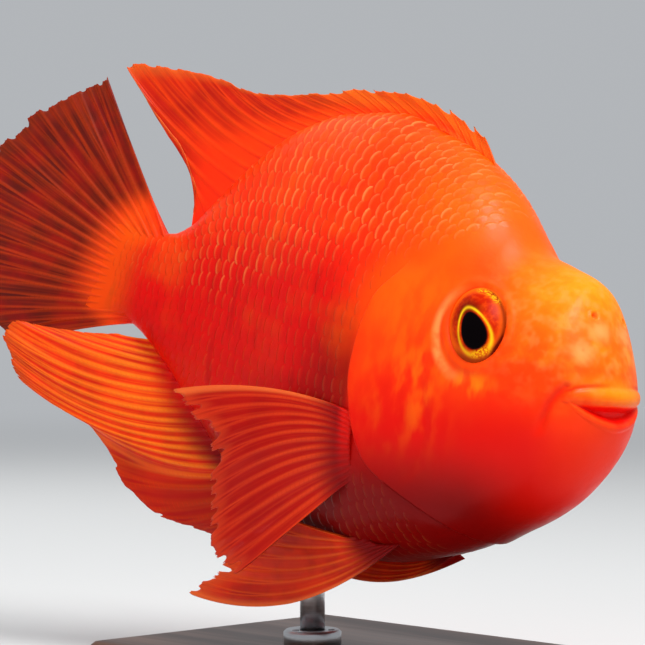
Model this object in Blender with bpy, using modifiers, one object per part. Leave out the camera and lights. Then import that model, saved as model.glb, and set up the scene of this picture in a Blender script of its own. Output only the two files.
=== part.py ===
"""Blood parrot cichlid: a life-size still model, swimming, on a plain display stand.

The fish is drawn straight and in millimetres: s runs back from the snout, y to the
fish's left and z up. One function bends the spine, tips the whole fish into its pose
and turns it into the model's metres.
"""

import math

import bmesh
import bpy
import numpy as np
from mathutils import Matrix, Vector

MM = 0.001
GAP = 0.3                      # between neighbouring pieces
SLIVER = 0.002                 # shorter edges are closed up after a cut
BODY_LENGTH = 152.0            # snout to the end of the tail stalk

# Outline of the body from the side, and its half width from above
BACK_LINE = [(0, 4.8), (1, 10), (3, 16), (6, 23), (11, 31), (20, 34.6), (27, 37),
             (33, 43), (41, 51.6), (50, 58), (63, 63.5), (80, 68.4), (97, 67.3),
             (112, 61.8), (124, 52.3), (133, 41), (139, 33), (144, 29.6), (152, 28.5)]
BELLY_LINE = [(0, 0.8), (2, -3.6), (6, -11), (14, -20), (28, -28), (45, -34.5),
              (65, -38.6), (82, -37.8), (97, -33), (112, -23), (126, -11),
              (138, -1.5), (147, 3.8), (152, 5.5)]
HALF_WIDTH = [(0, 3), (2, 7.7), (4.5, 11.2), (10, 14.8), (20, 17.5), (35, 20),
              (50, 23.3), (65, 24.7), (80, 23.6), (100, 18.5), (120, 12.2),
              (137, 7.5), (147, 4.8), (152, 3.2)]
WIDEST_AT = 0.45               # height of the widest line, as a share of the depth
BACK_ROUNDNESS = 1.9           # superellipse exponents of the sections
BELLY_ROUNDNESS = 2.25

# Pose
SPINE_BEND = 22.5              # degrees to the fish's right, over the rear body
BEND_FROM, BEND_TO = 55.0, 150.0
TAIL_LIFT = 7.7                # degrees up, over the rear body
LIFT_FROM, LIFT_TO = 80.0, 150.0
FIN_CURL = 14.0                # further degrees to the right, along the tail fin
CURL_FROM, CURL_TO = 150.0, 200.0
SPINE_HEIGHT = 14.0
NOSE_DOWN = 4.3
RIGHT_SIDE_UP = 8.9
PIVOT = (-97.0, 0.0, 16.0)     # this point of the fish is set at FISH_AT
FISH_AT = (-25.0, 3.0, 86.0)

# Where the head ends: along the gill opening and up to the nape, as (height, s)
GILL_LINE = [(-48, 27), (-30, 30), (-26, 36.5), (-22.5, 43), (-20, 47.5), (-16, 53),
             (-11, 56), (-5, 58.2), (4, 59.8), (12, 59.2), (21, 57), (27, 53),
             (36, 47.5), (46, 43), (75, 40)]
TAIL_CUT = 118.0
GILL_PROUD = 1.1               # the gill cover's free edge over the body
GILL_RAMP = 16.0
THROAT_DIP = 0.7               # the body just behind the gill opening
DIP_LENGTH = 5.0
COVER_TOP, COVER_FOOT = 27.0, -21.0
COVER_FRONT = [(27, 52), (25, 49), (20, 45.5), (13, 43), (4, 40.8), (-7, 38.5), (-13, 39.3),
               (-18, 43), (-21, 49)]
COVER_DEPTH = 3.0

# Eyes
EYE_S, EYE_Z = 30.0, 18.0
EYE_LONG, EYE_TALL, EYE_DEEP = 7.8, 10.2, 6.0
EYE_SUNK = 3.1
EYE_TILT = 22.0                # degrees that the tops of the eyes lean back
RIM_LONG, RIM_TALL, RIM_THICK = 8.1, 10.5, 1.3

# Nostrils
NOSTRIL_Y, NOSTRIL_Z = 5.0, 23.5
NOSTRIL_RIM, NOSTRIL_WALL, NOSTRIL_PIT = 1.3, 0.5, 1.0

# Mouth: heights of its upper and lower edges from corner to middle, and the lips
MOUTH_HALF = 12.0
MOUTH_CORNER_Z = 4.9
MOUTH_UPPER_Z = 6.2
MOUTH_LOWER_Z = 1.0
MOUTH_DEPTH = 7.0
UPPER_LIP, LOWER_LIP = 2.0, 1.7

# Stand
BASE_LONG, BASE_WIDE, BASE_THICK = 130.0, 84.0, 8.0
BASE_ROUND = 2.0
ROD_AT = (-18.0, -7.0)         # under the belly, behind the pelvic fins' bases
ROD_RADIUS, ROD_HIGH = 3.0, 60.0
COLLAR_RADIUS, COLLAR_HIGH = 7.0, 4.0

# Sections along the body, closer near the snout, and points round each
BODY_STATIONS = BODY_LENGTH * np.linspace(0, 1, 45) ** 1.4
COVER_STATIONS = np.linspace(30, 72, 10)
RING = 40

for old in list(bpy.data.objects):
    bpy.data.objects.remove(old, do_unlink=True)


def new_collection(name):
    made = bpy.data.collections.new(name)
    bpy.context.scene.collection.children.link(made)
    return made


model = new_collection("blood_parrot_cichlid")
cutters = new_collection("cutters")


def smooth_line(points):
    """A smooth curve through (place, value) points that doesn't overshoot them."""
    x, y = np.array(points, float).T
    step = np.diff(x)
    rise = np.diff(y) / step
    slope = np.concatenate([rise[:1], np.zeros(len(x) - 2), rise[-1:]])
    for i in range(1, len(x) - 1):
        if rise[i - 1] * rise[i] > 0:
            before = 2 * step[i] + step[i - 1]
            after = step[i] + 2 * step[i - 1]
            slope[i] = (before + after) / (before / rise[i - 1] + after / rise[i])

    def at(place):
        place = np.clip(place, x[0], x[-1])
        i = np.clip(np.searchsorted(x, place) - 1, 0, len(step) - 1)
        t = (place - x[i]) / step[i]
        start = y[i] * (1 + 2 * t) * (1 - t) ** 2 + slope[i] * step[i] * t * (1 - t) ** 2
        end = y[i + 1] * t * t * (3 - 2 * t) + slope[i + 1] * step[i] * t * t * (t - 1)
        return start + end

    return at


back_z = smooth_line(BACK_LINE)
belly_z = smooth_line(BELLY_LINE)
half_width = smooth_line(HALF_WIDTH)
gill_s = smooth_line(GILL_LINE)
cover_s = smooth_line(sorted(COVER_FRONT))


def bent_spine():
    """Places and directions along the spine, every half millimetre."""
    s = np.arange(-20.0, 230.0, 0.5)
    turn = SPINE_BEND * np.clip((s - BEND_FROM) / (BEND_TO - BEND_FROM), 0, 1)
    turn = np.radians(turn + FIN_CURL * np.clip((s - CURL_FROM) / (CURL_TO - CURL_FROM), 0, 1))
    lift = np.radians(TAIL_LIFT * np.clip((s - LIFT_FROM) / (LIFT_TO - LIFT_FROM), 0, 1))
    ahead = np.stack([np.cos(turn) * np.cos(lift), np.sin(turn) * np.cos(lift), -np.sin(lift)], 1)
    left = np.stack([-np.sin(turn), np.cos(turn), 0 * turn], 1)
    steps = 0.25 * (ahead[1:] + ahead[:-1])
    place = -np.concatenate([np.zeros((1, 3)), np.cumsum(steps, 0)])
    place -= place[np.argmin(abs(s))]
    return s, place, left, np.cross(ahead, left)


SPINE = bent_spine()
POSE = (Matrix.Translation(Vector(FISH_AT) * MM)
        @ Matrix.Rotation(math.radians(NOSE_DOWN), 4, "Y")
        @ Matrix.Rotation(math.radians(-RIGHT_SIDE_UP), 4, "X")
        @ Matrix.Translation(-Vector(PIVOT) * MM))


def to_world(s, y, z):
    """A point of the straight fish, in millimetres, to its place in metres."""
    along, place, left, up = SPINE
    spot = [np.interp(s, along, place[:, k] + y * left[:, k] + (z - SPINE_HEIGHT) * up[:, k])
            for k in range(3)]
    spot[2] += SPINE_HEIGHT
    return POSE @ (Vector(spot) * MM)


def section(s):
    """Centre height, half heights above and below it, and half width at s."""
    top, bottom, wide = back_z(s), belly_z(s), half_width(s)
    middle = bottom + WIDEST_AT * (top - bottom)
    return middle, top - middle, middle - bottom, wide


def skin_y(s, z):
    """Half width of the body at s and height z."""
    middle, above, below, wide = section(s)
    high, power = (above, BACK_ROUNDNESS) if z >= middle else (below, BELLY_ROUNDNESS)
    share = min(abs(z - middle) / high, 1.0)
    return wide * (1 - share ** power) ** (1 / power)


def snout_s(y, z):
    """How far behind the snout's tip the skin is, at y and z on the face."""
    near, far = 0.0, 30.0
    for _ in range(30):
        s = 0.5 * (near + far)
        inside = belly_z(s) < z < back_z(s) and skin_y(s, z) > abs(y)
        near, far = (near, s) if inside else (s, far)
    return far


def body_point(s, angle, swell):
    """A point on the body's skin, swell millimetres out from it."""
    middle, above, below, wide = section(s)
    c, n = math.cos(angle), math.sin(angle)
    high, power = (above, BACK_ROUNDNESS) if n >= 0 else (-below, BELLY_ROUNDNESS)
    y = math.copysign(abs(c) ** (2 / power), c)
    z = abs(n) ** (2 / power)
    grow = swell(s, middle + high * z)
    return s, (wide + grow) * y, middle + (high + math.copysign(1, high) * grow) * z


def head_swell(s, z):
    """The head stands a little proud towards the gill covers' free edge."""
    ramp = np.clip(1 - (gill_s(z) - s) / GILL_RAMP, 0, 1)
    flank = np.clip((30 - z) / 8, 0, 1) * np.clip((z + 34) / 8, 0, 1)
    return GILL_PROUD * ramp * ramp * flank


def trunk_swell(s, z):
    """The body dips a little just behind the gill opening."""
    behind = max(s - gill_s(z), 0.0)
    flank = np.clip((30 - z) / 8, 0, 1) * np.clip((z + 34) / 8, 0, 1)
    return -THROAT_DIP * math.exp(-((behind / DIP_LENGTH) ** 2)) * flank


def grown(swell, by):
    return lambda s, z: swell(s, z) + by


def place_in(collection, name, mesh):
    """A new object for a mesh; a cutter isn't rendered and shows as wire."""
    made = bpy.data.objects.new(name, mesh)
    collection.objects.link(made)
    if collection is cutters:
        made.hide_render = True
        made.display_type = "WIRE"
    return made


def finish_mesh(name, verts, faces, collection):
    """A mesh object from points in metres, closed, triangulated, facing out."""
    mesh = bpy.data.meshes.new(name)
    mesh.from_pydata([tuple(v) for v in verts], [], faces)
    work = bmesh.new()
    work.from_mesh(mesh)
    bmesh.ops.triangulate(work, faces=work.faces[:])
    work.normal_update()
    bmesh.ops.recalc_face_normals(work, faces=work.faces[:])
    work.to_mesh(mesh)
    work.free()
    return place_in(collection, name, mesh)


def body_loft(name, swell, collection, past_end=0.0, places=BODY_STATIONS):
    """The body as one closed loft over sections at the given places."""
    verts, faces = [], []
    last = len(places) - 1
    for k, s in enumerate(places):
        behind = past_end if k == last else (-past_end if k == 0 else 0)
        for j in range(RING):
            point = body_point(s, 2 * math.pi * j / RING, swell)
            verts.append(to_world(point[0] + behind, point[1], point[2]))
    for i in range(last):
        for j in range(RING):
            a, b = i * RING + j, i * RING + (j + 1) % RING
            faces.append((a, b, b + RING, a + RING))
    for ring, behind in ((0, -past_end), (last, past_end)):
        verts.append(to_world(places[ring] + behind, 0, section(places[ring])[0]))
        for j in range(RING):
            faces.append((len(verts) - 1, ring * RING + j, ring * RING + (j + 1) % RING))
    return finish_mesh(name, verts, faces, collection)


def side_prism(name, outline, y_from, y_to):
    """A cutter: an outline of (s, z) points run across the fish."""
    n = len(outline)
    verts = [to_world(s, y, z) for y in (y_from, y_to) for s, z in outline]
    faces = [tuple(range(n)), tuple(range(2 * n - 1, n - 1, -1))]
    faces += [(i, n + i, n + (i + 1) % n, (i + 1) % n) for i in range(n)]
    return finish_mesh(name, verts, faces, cutters)


def combine(target, other, operation, solver="EXACT"):
    """Apply one Boolean to the target and return the target."""
    mod = target.modifiers.new(operation.lower(), "BOOLEAN")
    mod.object = other
    mod.operation = operation
    mod.solver = solver
    bpy.context.view_layer.update()
    ready = target.evaluated_get(bpy.context.evaluated_depsgraph_get())
    mesh = bpy.data.meshes.new_from_object(ready)
    target.modifiers.clear()
    work = bmesh.new()
    work.from_mesh(mesh)
    bmesh.ops.remove_doubles(work, verts=work.verts[:], dist=SLIVER * MM)
    bmesh.ops.dissolve_degenerate(work, dist=SLIVER * MM, edges=work.edges[:])
    bmesh.ops.triangulate(work, faces=work.faces[:])
    work.to_mesh(mesh)
    work.free()
    target.data = mesh
    return target


def keep_largest(target):
    """Drop every closed surface of the mesh but the largest."""
    work = bmesh.new()
    work.from_mesh(target.data)
    left, groups = set(work.verts), []
    while left:
        group, todo = set(), [left.pop()]
        while todo:
            vert = todo.pop()
            group.add(vert)
            for edge in vert.link_edges:
                other = edge.other_vert(vert)
                if other in left:
                    left.remove(other)
                    todo.append(other)
        groups.append(group)
    groups.sort(key=len)
    bmesh.ops.delete(work, geom=[v for group in groups[:-1] for v in group], context="VERTS")
    bmesh.ops.triangulate(work, faces=work.faces[:])
    work.to_mesh(target.data)
    work.free()


def skin_frame(s, z, side):
    """A matrix on the skin: X back along it, Y up along it, Z straight out."""
    def at(s, z):
        return to_world(s, side * skin_y(s, z), z)
    along = at(s + 2, z) - at(s - 2, z)
    up = at(s, z + 2) - at(s, z - 2)
    along.normalize()
    out = along.cross(up).normalized() * side
    if out.dot(to_world(s, side * 90, z) - at(s, z)) < 0:
        out = -out
    up = out.cross(along)
    return Matrix.Translation(at(s, z)) @ Matrix((along, up, out)).transposed().to_4x4()


def oval(name, place, radii, collection, segments=18, rings=9):
    """An ellipsoid in millimetres set by a matrix."""
    mesh = bpy.data.meshes.new(name)
    work = bmesh.new()
    bmesh.ops.create_uvsphere(work, u_segments=segments, v_segments=rings, radius=1)
    work.transform(place @ Matrix.Diagonal(Vector(radii) * MM).to_4x4())
    work.normal_update()
    bmesh.ops.recalc_face_normals(work, faces=work.faces[:])
    work.to_mesh(mesh)
    work.free()
    return place_in(collection, name, mesh)


def ring_tube(name, place, long, tall, thick, around=20, sides=8):
    """An oval ring of round section, set by a matrix."""
    verts, faces = [], []
    for i in range(around):
        turn = 2 * math.pi * i / around
        for j in range(sides):
            roll = 2 * math.pi * j / sides
            reach = thick * math.cos(roll)
            spot = ((long + reach) * math.cos(turn), (tall + reach) * math.sin(turn),
                    thick * math.sin(roll))
            verts.append(place @ (Vector(spot) * MM))
            a, b = i * sides + j, i * sides + (j + 1) % sides
            c, d = ((i + 1) % around) * sides + (j + 1) % sides, ((i + 1) % around) * sides + j
            faces.append((a, b, c, d))
    return finish_mesh(name, verts, faces, cutters)


def tapered_tube(name, points, radii, sides=7):
    """A round bar along points in metres, with closed ends."""
    points = [Vector(p) for p in points]
    verts, faces = [], []
    for i, point in enumerate(points):
        ahead = (points[min(i + 1, len(points) - 1)] - points[max(i - 1, 0)]).normalized()
        across = ahead.cross(Vector((0, 0, 1))).normalized()
        lift = across.cross(ahead)
        for j in range(sides):
            turn = 2 * math.pi * j / sides
            verts.append(point + (across * math.cos(turn) + lift * math.sin(turn)) * radii[i] * MM)
    for i in range(len(points) - 1):
        for j in range(sides):
            a, b = i * sides + j, i * sides + (j + 1) % sides
            faces.append((a, b, b + sides, a + sides))
    last = (len(points) - 1) * sides
    faces += [tuple(range(sides)), tuple(last + j for j in range(sides))]
    return finish_mesh(name, verts, faces, cutters)


# Fins are one closed sheet each, with a crest along every ray and a dip between
def fin(name, roots, tips, bows, rays, rows, root_thick, ray_thick, web_thick, notch, sunk=3.0):
    """A fin sheet. roots, tips and bows are (share, s, y, z) along the fin's base."""
    def curve(table):
        lines = [smooth_line([(row[0], row[k]) for row in table]) for k in (1, 2, 3)]
        return lambda share: np.array([line(share) for line in lines])

    root_at, tip_at, bow_at = curve(roots), curve(tips), curve(bows)
    columns = 2 * rays - 1
    spots = np.zeros((columns, rows + 1, 3))
    half = np.zeros((columns, rows + 1))
    for i in range(columns):
        share = i / (columns - 1)
        crest = i % 2 == 0
        root, tip, bow = root_at(share), tip_at(share), bow_at(share)
        reach = tip - root
        long = np.linalg.norm(reach)
        if not crest:
            tip = tip - reach * min(notch / long, 0.3)
        root = root - reach / long * sunk
        for j in range(rows + 1):
            t = j / rows
            spot = root + (tip - root) * t + bow * 4 * t * (1 - t)
            spots[i, j] = to_world(*spot)
            edge = ray_thick if crest else web_thick
            fade = edge * (1 - 0.45 * t) if crest else edge
            half[i, j] = 0.5 * (fade + (root_thick - fade) * max(1 - 3.2 * t, 0) ** 2)
    return sheet(name, spots, half)


def sheet(name, spots, half):
    """A closed sheet over a grid of points, split alike on both faces."""
    columns, rows = spots.shape[:2]
    across = np.gradient(spots, axis=0)
    along = np.gradient(spots, axis=1)
    out = np.cross(along, across)
    out /= np.linalg.norm(out, axis=2, keepdims=True)
    lift = out * half[..., None] * MM
    verts = np.concatenate([(spots + lift).reshape(-1, 3), (spots - lift).reshape(-1, 3)])
    behind = columns * rows
    faces = []
    for i in range(columns - 1):
        for j in range(rows - 1):
            a, b = i * rows + j, (i + 1) * rows + j
            for corner in ((a, b, b + 1), (a, b + 1, a + 1)):
                faces.append(corner)
                faces.append(tuple(behind + k for k in reversed(corner)))
    rim = [i * rows for i in range(columns)]
    rim += [(columns - 1) * rows + j for j in range(1, rows)]
    rim += [i * rows + rows - 1 for i in range(columns - 2, -1, -1)]
    rim += [j for j in range(rows - 2, 0, -1)]
    for k, here in enumerate(rim):
        there = rim[(k + 1) % len(rim)]
        faces += [(here, behind + here, there), (there, behind + here, behind + there)]
    return finish_mesh(name, [Vector(v) for v in verts], faces, model)


def paint(target, name, colour, roughness, metallic=0.0):
    made = bpy.data.materials.new(name)
    made.use_nodes = True
    shader = made.node_tree.nodes["Principled BSDF"]
    shader.inputs["Base Color"].default_value = (*colour, 1)
    shader.inputs["Roughness"].default_value = roughness
    shader.inputs["Metallic"].default_value = metallic
    target.data.materials.clear()
    target.data.materials.append(made)


# Cutters that part the body
def line_points(line, low, high, count):
    return [(float(line(z)), float(z)) for z in np.linspace(low, high, count)]


gill_edge = line_points(gill_s, -46, 74, 41)
behind_head = side_prism("behind_head", gill_edge + [(175, 74), (175, -46)], -45, 45)
head_side = side_prism("head_side", [(s + GAP, z) for s, z in gill_edge] + [(-9, 74), (-9, -46)],
                       -45, 45)
tail_side = side_prism("tail_side", [(TAIL_CUT, -60), (175, -60), (175, 90), (TAIL_CUT, 90)], -45, 45)
trunk_side = side_prism("trunk_side", [(TAIL_CUT + GAP, -60), (TAIL_CUT + GAP, 90), (-12, 90),
                                       (-12, -60)], -45, 45)

# Clearances for whatever grows from the body
trunk_room = body_loft("trunk_room", grown(trunk_swell, GAP), cutters, GAP)
head_room = body_loft("head_room", grown(head_swell, GAP), cutters, GAP)
combine(head_room, side_prism("head_room_end", [(s + GAP, z) for s, z in gill_edge]
                              + [(175, 74), (175, -46)], -45, 45), "DIFFERENCE")


def add_trunk():
    """The torso, from the gill opening to the tail cut, and the tail behind it."""
    for name, spare in (("torso", (head_side, tail_side)), ("tail", (trunk_side,))):
        piece = body_loft(name, trunk_swell, model)
        for cutter in spare:
            combine(piece, cutter, "DIFFERENCE")
        keep_largest(piece)
        paint(piece, name + "_skin", (0.85, 0.07, 0.01), 0.4)


def mouth_edge(share, middle_z):
    """Height of one edge of the mouth, from a corner at -1 to the other at 1."""
    return MOUTH_CORNER_Z + (middle_z - MOUTH_CORNER_Z) * (1 - abs(share) ** 1.5)


def lip(name, middle_z, radius, away):
    """One lip, a bar that follows an edge of the mouth round the snout."""
    points, radii = [], []
    for share in np.linspace(-1, 1, 13):
        y = share * MOUTH_HALF * 1.03
        thick = radius * (0.45 + 0.55 * (1 - share ** 2) ** 0.5)
        z = mouth_edge(share, middle_z) + away * thick * 0.75
        points.append(to_world(snout_s(y, z) + 0.5 * thick, y, z))
        radii.append(thick)
    return tapered_tube(name, points, radii)


def mouth_cutter():
    """The open mouth: an upper edge nearly straight, a lower edge that dips."""
    shares = np.linspace(-1, 1, 13)
    outline = [(share * MOUTH_HALF, mouth_edge(share, MOUTH_UPPER_Z)) for share in shares]
    outline += [(share * MOUTH_HALF, mouth_edge(share, MOUTH_LOWER_Z)) for share in shares[-2:0:-1]]
    n = len(outline)
    verts = [to_world(s, y, z) for s in (-8, MOUTH_DEPTH) for y, z in outline]
    faces = [tuple(range(n)), tuple(range(2 * n - 1, n - 1, -1))]
    faces += [(i, n + i, n + (i + 1) % n, (i + 1) % n) for i in range(n)]
    return finish_mesh("mouth_cutter", verts, faces, cutters)


def nostril_frame(side):
    spot = snout_s(NOSTRIL_Y, NOSTRIL_Z)
    return skin_frame(spot, NOSTRIL_Z, side)


def eye_frame(side, sunk=0.0):
    """Where an eye sits: X and Y are its length and height, Z points out."""
    tilt = Matrix.Rotation(math.radians(-side * EYE_TILT), 4, "Z")
    return skin_frame(EYE_S, EYE_Z, side) @ Matrix.Translation(Vector((0, 0, -sunk * MM))) @ tilt


def cover_outline(by):
    low, high = COVER_FOOT - by, COVER_TOP + by
    front = [(s - by, z) for s, z in line_points(cover_s, low, high, 17)]
    return front + [(70, high), (70, low)]


def add_head():
    """The head with its lips, nostrils, eye rims and the seats of the gill covers."""
    head = body_loft("head", head_swell, model)
    combine(head, behind_head, "DIFFERENCE")
    deeper = body_loft("under_covers", grown(head_swell, -COVER_DEPTH), cutters,
                       places=COVER_STATIONS)
    deepest = body_loft("cover_floor", grown(head_swell, -COVER_DEPTH - GAP), cutters,
                        places=COVER_STATIONS)
    for side, word in ((-1, "right"), (1, "left")):
        near, far = sorted((side * 4, side * 45))
        cover = combine(body_loft("gill_cover_" + word, head_swell, model), behind_head, "DIFFERENCE")
        combine(cover, side_prism("cover_shape_" + word, cover_outline(0), near, far), "INTERSECT")
        combine(cover, deeper, "DIFFERENCE")
        keep_largest(cover)
        paint(cover, "gill_cover_skin", (0.9, 0.09, 0.01), 0.38)
        seat = combine(side_prism("cover_seat_" + word, cover_outline(GAP), near, far), deepest,
                       "DIFFERENCE")
        combine(head, seat, "DIFFERENCE")
    keep_largest(head)
    combine(head, lip("upper_lip", MOUTH_UPPER_Z, UPPER_LIP, 1), "UNION")
    combine(head, lip("lower_lip", MOUTH_LOWER_Z, LOWER_LIP, -1), "UNION")
    combine(head, mouth_cutter(), "DIFFERENCE")
    for side, word in ((-1, "right"), (1, "left")):
        rim = ring_tube("eye_rim_" + word, eye_frame(side, RIM_THICK * 0.45), RIM_LONG, RIM_TALL,
                        RIM_THICK)
        combine(head, rim, "UNION")
        rim = ring_tube("nostril_rim_" + word, nostril_frame(side), NOSTRIL_RIM, NOSTRIL_RIM,
                        NOSTRIL_WALL, 10, 5)
        combine(head, rim, "UNION")
        pit = oval("nostril_pit_" + word, nostril_frame(side), [NOSTRIL_PIT] * 3, cutters, 8, 5)
        combine(head, pit, "DIFFERENCE")
        room = [r + GAP for r in (EYE_LONG, EYE_TALL, EYE_DEEP)]
        socket = oval("eye_socket_" + word, eye_frame(side, EYE_SUNK), room, cutters)
        combine(head, socket, "DIFFERENCE")
        eye = oval("eye_" + word, eye_frame(side, EYE_SUNK), (EYE_LONG, EYE_TALL, EYE_DEEP), model)
        keep_largest(eye)
        paint(eye, "eye", (0.02, 0.01, 0.01), 0.08)
    keep_largest(head)
    paint(head, "head_skin", (0.95, 0.2, 0.02), 0.35)


def add_fin(name, room, colour, **shape):
    """A fin, trimmed clear of the body that it grows from."""
    made = fin(name, **shape)
    for body in room:
        combine(made, body, "DIFFERENCE")
    keep_largest(made)
    paint(made, name + "_web", colour, 0.35)


def on_back(s, up=0.0):
    return (s, 0.0, float(back_z(s)) + up)


def on_belly(s, down=0.0):
    return (s, 0.0, float(belly_z(s)) - down)


FLAT = [(0, 0, 0, 0), (1, 0, 0, 0)]
FIN_ORANGE = (0.85, 0.12, 0.02)


def add_dorsal_fin():
    """Low folded spines in front, then soft rays drawn out to a point behind."""
    roots = [(share, *on_back(s)) for share, s in
             ((0, 48), (0.25, 71), (0.5, 94), (0.7, 112), (0.88, 128), (1, 139.5))]
    tips = [(0, 53, 0, 63.4), (0.1, 64, 0, 69), (0.25, 83, 0, 73.8), (0.4, 98, 0.5, 73.8),
            (0.52, 112, 0.5, 71.3), (0.64, 130, 0, 69.2), (0.74, 148, -0.5, 70.8),
            (0.82, 162, -1, 70.2), (0.88, 170.5, -1.5, 67.6), (0.92, 162, -1, 60),
            (0.96, 149.5, -0.5, 51.5), (1, 141.2, 0, 42)]
    bows = [(0, 0, 0, 0), (0.5, 0, 0, 0.5), (0.85, 1.5, 1, -2.5), (1, 0, 0, 0)]
    add_fin("dorsal_fin", [trunk_room], FIN_ORANGE, roots=roots, tips=tips, bows=bows, rays=23,
            rows=6, root_thick=2.4, ray_thick=1.0, web_thick=0.55, notch=1.4)


def add_caudal_fin():
    """A broad fan, its upper lobe raised and its lower lobe part folded."""
    roots = [(0, 146.5, 0, 29.3), (0.1, 150.5, 0, 27.5), (0.25, 152, 0, 24), (0.5, 152.5, 0, 17),
             (0.75, 152, 0, 10), (0.9, 150.5, 0, 6.5), (1, 147.5, 0, 4.5)]
    tips = [(0, 176, 0, 64), (0.1, 183, 0, 58.5), (0.3, 196.5, 0, 42.5), (0.5, 203.5, 0, 26),
            (0.7, 203, 0, 10), (0.88, 191, 0, -3.5), (1, 178, 0, -9.5)]
    bows = [(0, 0, 0, -1), (0.5, 0, 0, 0), (1, 1, 0, 1)]
    add_fin("caudal_fin", [trunk_room], (0.6, 0.09, 0.02), roots=roots, tips=tips, bows=bows,
            rays=17, rows=7, root_thick=4.6, ray_thick=1.1, web_thick=0.55, notch=1.0)


def add_anal_fin():
    """A dense spiny lobe in front, and soft rays swung out to the fish's right."""
    roots = [(share, *on_belly(s)) for share, s in
             ((0, 98), (0.25, 110), (0.5, 122), (0.75, 133), (1, 143))]
    tips = [(0, 109, 0, -41.5), (0.1, 117, 0, -41), (0.22, 128, 0, -40.5), (0.34, 138, 0, -36),
            (0.44, 145, 0, -29.5), (0.54, 152, -2, -23), (0.66, 163, -5, -18.5),
            (0.78, 171, -7, -17.5), (0.88, 175.5, -9, -12), (0.96, 178.5, -10, -7),
            (1, 177, -9.5, -3.5)]
    bows = [(0, 0, 0, -1), (0.5, 0, 0, 0), (0.8, 0, -0.5, 1), (1, 0, -1.5, 2)]
    add_fin("anal_fin", [trunk_room], FIN_ORANGE, roots=roots, tips=tips, bows=bows, rays=18,
            rows=6, root_thick=2.4, ray_thick=1.0, web_thick=0.55, notch=1.4)


def add_pectoral_fins():
    """Broad fans held out from the body just behind the gill covers."""
    for side, word in ((-1, "right"), (1, "left")):
        roots = [(share, s, side * (skin_y(s, z) - 0.6), z) for share, s, z in
                 ((0, 60.5, -5.5), (0.5, 61, -13.5), (1, 61, -22))]
        tips = [(0, 113, side * 29, -7.5), (0.12, 107, side * 29, -11.5), (0.3, 97, side * 29, -18.5),
                (0.5, 95.5, side * 28.5, -27), (0.7, 94, side * 28, -36), (0.85, 91, side * 27, -44),
                (1, 80, side * 26, -41.5)]
        bows = [(0, 0, side * 2.5, 3.6), (0.5, 0, side * 2.5, 0.5), (1, 0, side * 2, -1.5)]
        add_fin("pectoral_fin_" + word, [trunk_room, head_room], (0.9, 0.2, 0.04), roots=roots,
                tips=tips, bows=bows, rays=13, rows=6, root_thick=2.6, ray_thick=0.9,
                web_thick=0.5, notch=1.6, sunk=2.5)


def add_pelvic_fins():
    """The right one trails down and back, the left one lies along the belly."""
    shapes = {
        "right": (-1, 53, [(0, 107, -12, -55.5), (0.25, 102, -12, -50.5), (0.5, 96, -12.5, -45),
                           (0.75, 85, -13, -39), (1, 71, -13.5, -34.5)], -6.8),
        "left": (1, 50.5, [(0, 97, 8, -40), (0.25, 92, 8.5, -38.5), (0.5, 86, 9.5, -37.5),
                         (0.75, 80, 11, -36.5), (1, 73, 13, -36)], -5.5)}
    for word, (side, front, tips, droop) in shapes.items():
        roots = [(0, front, side * 9, -34.2), (0.5, front + 5, side * 10.5, -34.8),
                 (1, front + 10, side * 12.5, -34)]
        bows = [(0, 0, 0, droop), (0.5, 0, 0, 0.4 * droop), (1, 0, 0, 0)]
        add_fin("pelvic_fin_" + word, [trunk_room], (0.9, 0.15, 0.03), roots=roots, tips=tips,
                bows=bows, rays=8, rows=7, root_thick=2.4, ray_thick=0.95, web_thick=0.55,
                notch=1.5)


def add_stand():
    """A flat base with a steel rod up to the belly and a collar at its foot."""
    bpy.ops.mesh.primitive_cube_add(size=1)
    base = bpy.context.object
    base.name = base.data.name = "stand_base"
    base.data.transform(Matrix.Translation((0, 0, 0.5 * BASE_THICK * MM))
                        @ Matrix.Diagonal((BASE_LONG * MM, BASE_WIDE * MM, BASE_THICK * MM, 1)))
    edge = base.modifiers.new("rounded", "BEVEL")
    edge.width = BASE_ROUND * MM
    edge.segments = 3
    paint(base, "stand_wood", (0.05, 0.025, 0.015), 0.45)

    floor = BASE_THICK + GAP
    def upright(name, radius, low, high):
        bpy.ops.mesh.primitive_cylinder_add(vertices=24, radius=radius * MM, depth=(high - low) * MM)
        made = bpy.context.object
        made.name = made.data.name = name
        middle = (ROD_AT[0] * MM, ROD_AT[1] * MM, 0.5 * (low + high) * MM)
        made.data.transform(Matrix.Translation(middle))
        return made

    rod = upright("stand_rod", ROD_RADIUS, floor, floor + ROD_HIGH)
    collar = upright("stand_collar", COLLAR_RADIUS, floor, floor + COLLAR_HIGH)
    bore = upright("collar_bore", ROD_RADIUS + GAP, 0, ROD_HIGH)
    for made in (rod, collar):
        paint(made, made.name + "_steel", (0.6, 0.6, 0.6), 0.3, 1.0)
    combine(collar, bore, "DIFFERENCE")
    bpy.data.objects.remove(bore, do_unlink=True)
    combine(rod, trunk_room, "DIFFERENCE")
    for made in (base, rod, collar):
        for other in list(made.users_collection):
            other.objects.unlink(made)
        model.objects.link(made)
        made.data.shade_smooth()
        made.data.set_sharp_from_angle(angle=math.radians(40))
    for made in (rod, collar):
        keep_largest(made)


add_trunk()
add_head()
add_dorsal_fin()
add_caudal_fin()
add_anal_fin()
add_pectoral_fins()
add_pelvic_fins()
add_stand()
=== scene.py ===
"""The looks of a life-size blood parrot cichlid, swimming on its display stand.

The fish is drawn straight and in millimetres, as its solids are: s runs back from the
snout, y to the fish's left and z up. bent() swings its tail, tips it into its pose and
turns millimetres into the model's metres.
"""

import math

import bpy
import numpy as np
from mathutils import Matrix, Vector


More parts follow.
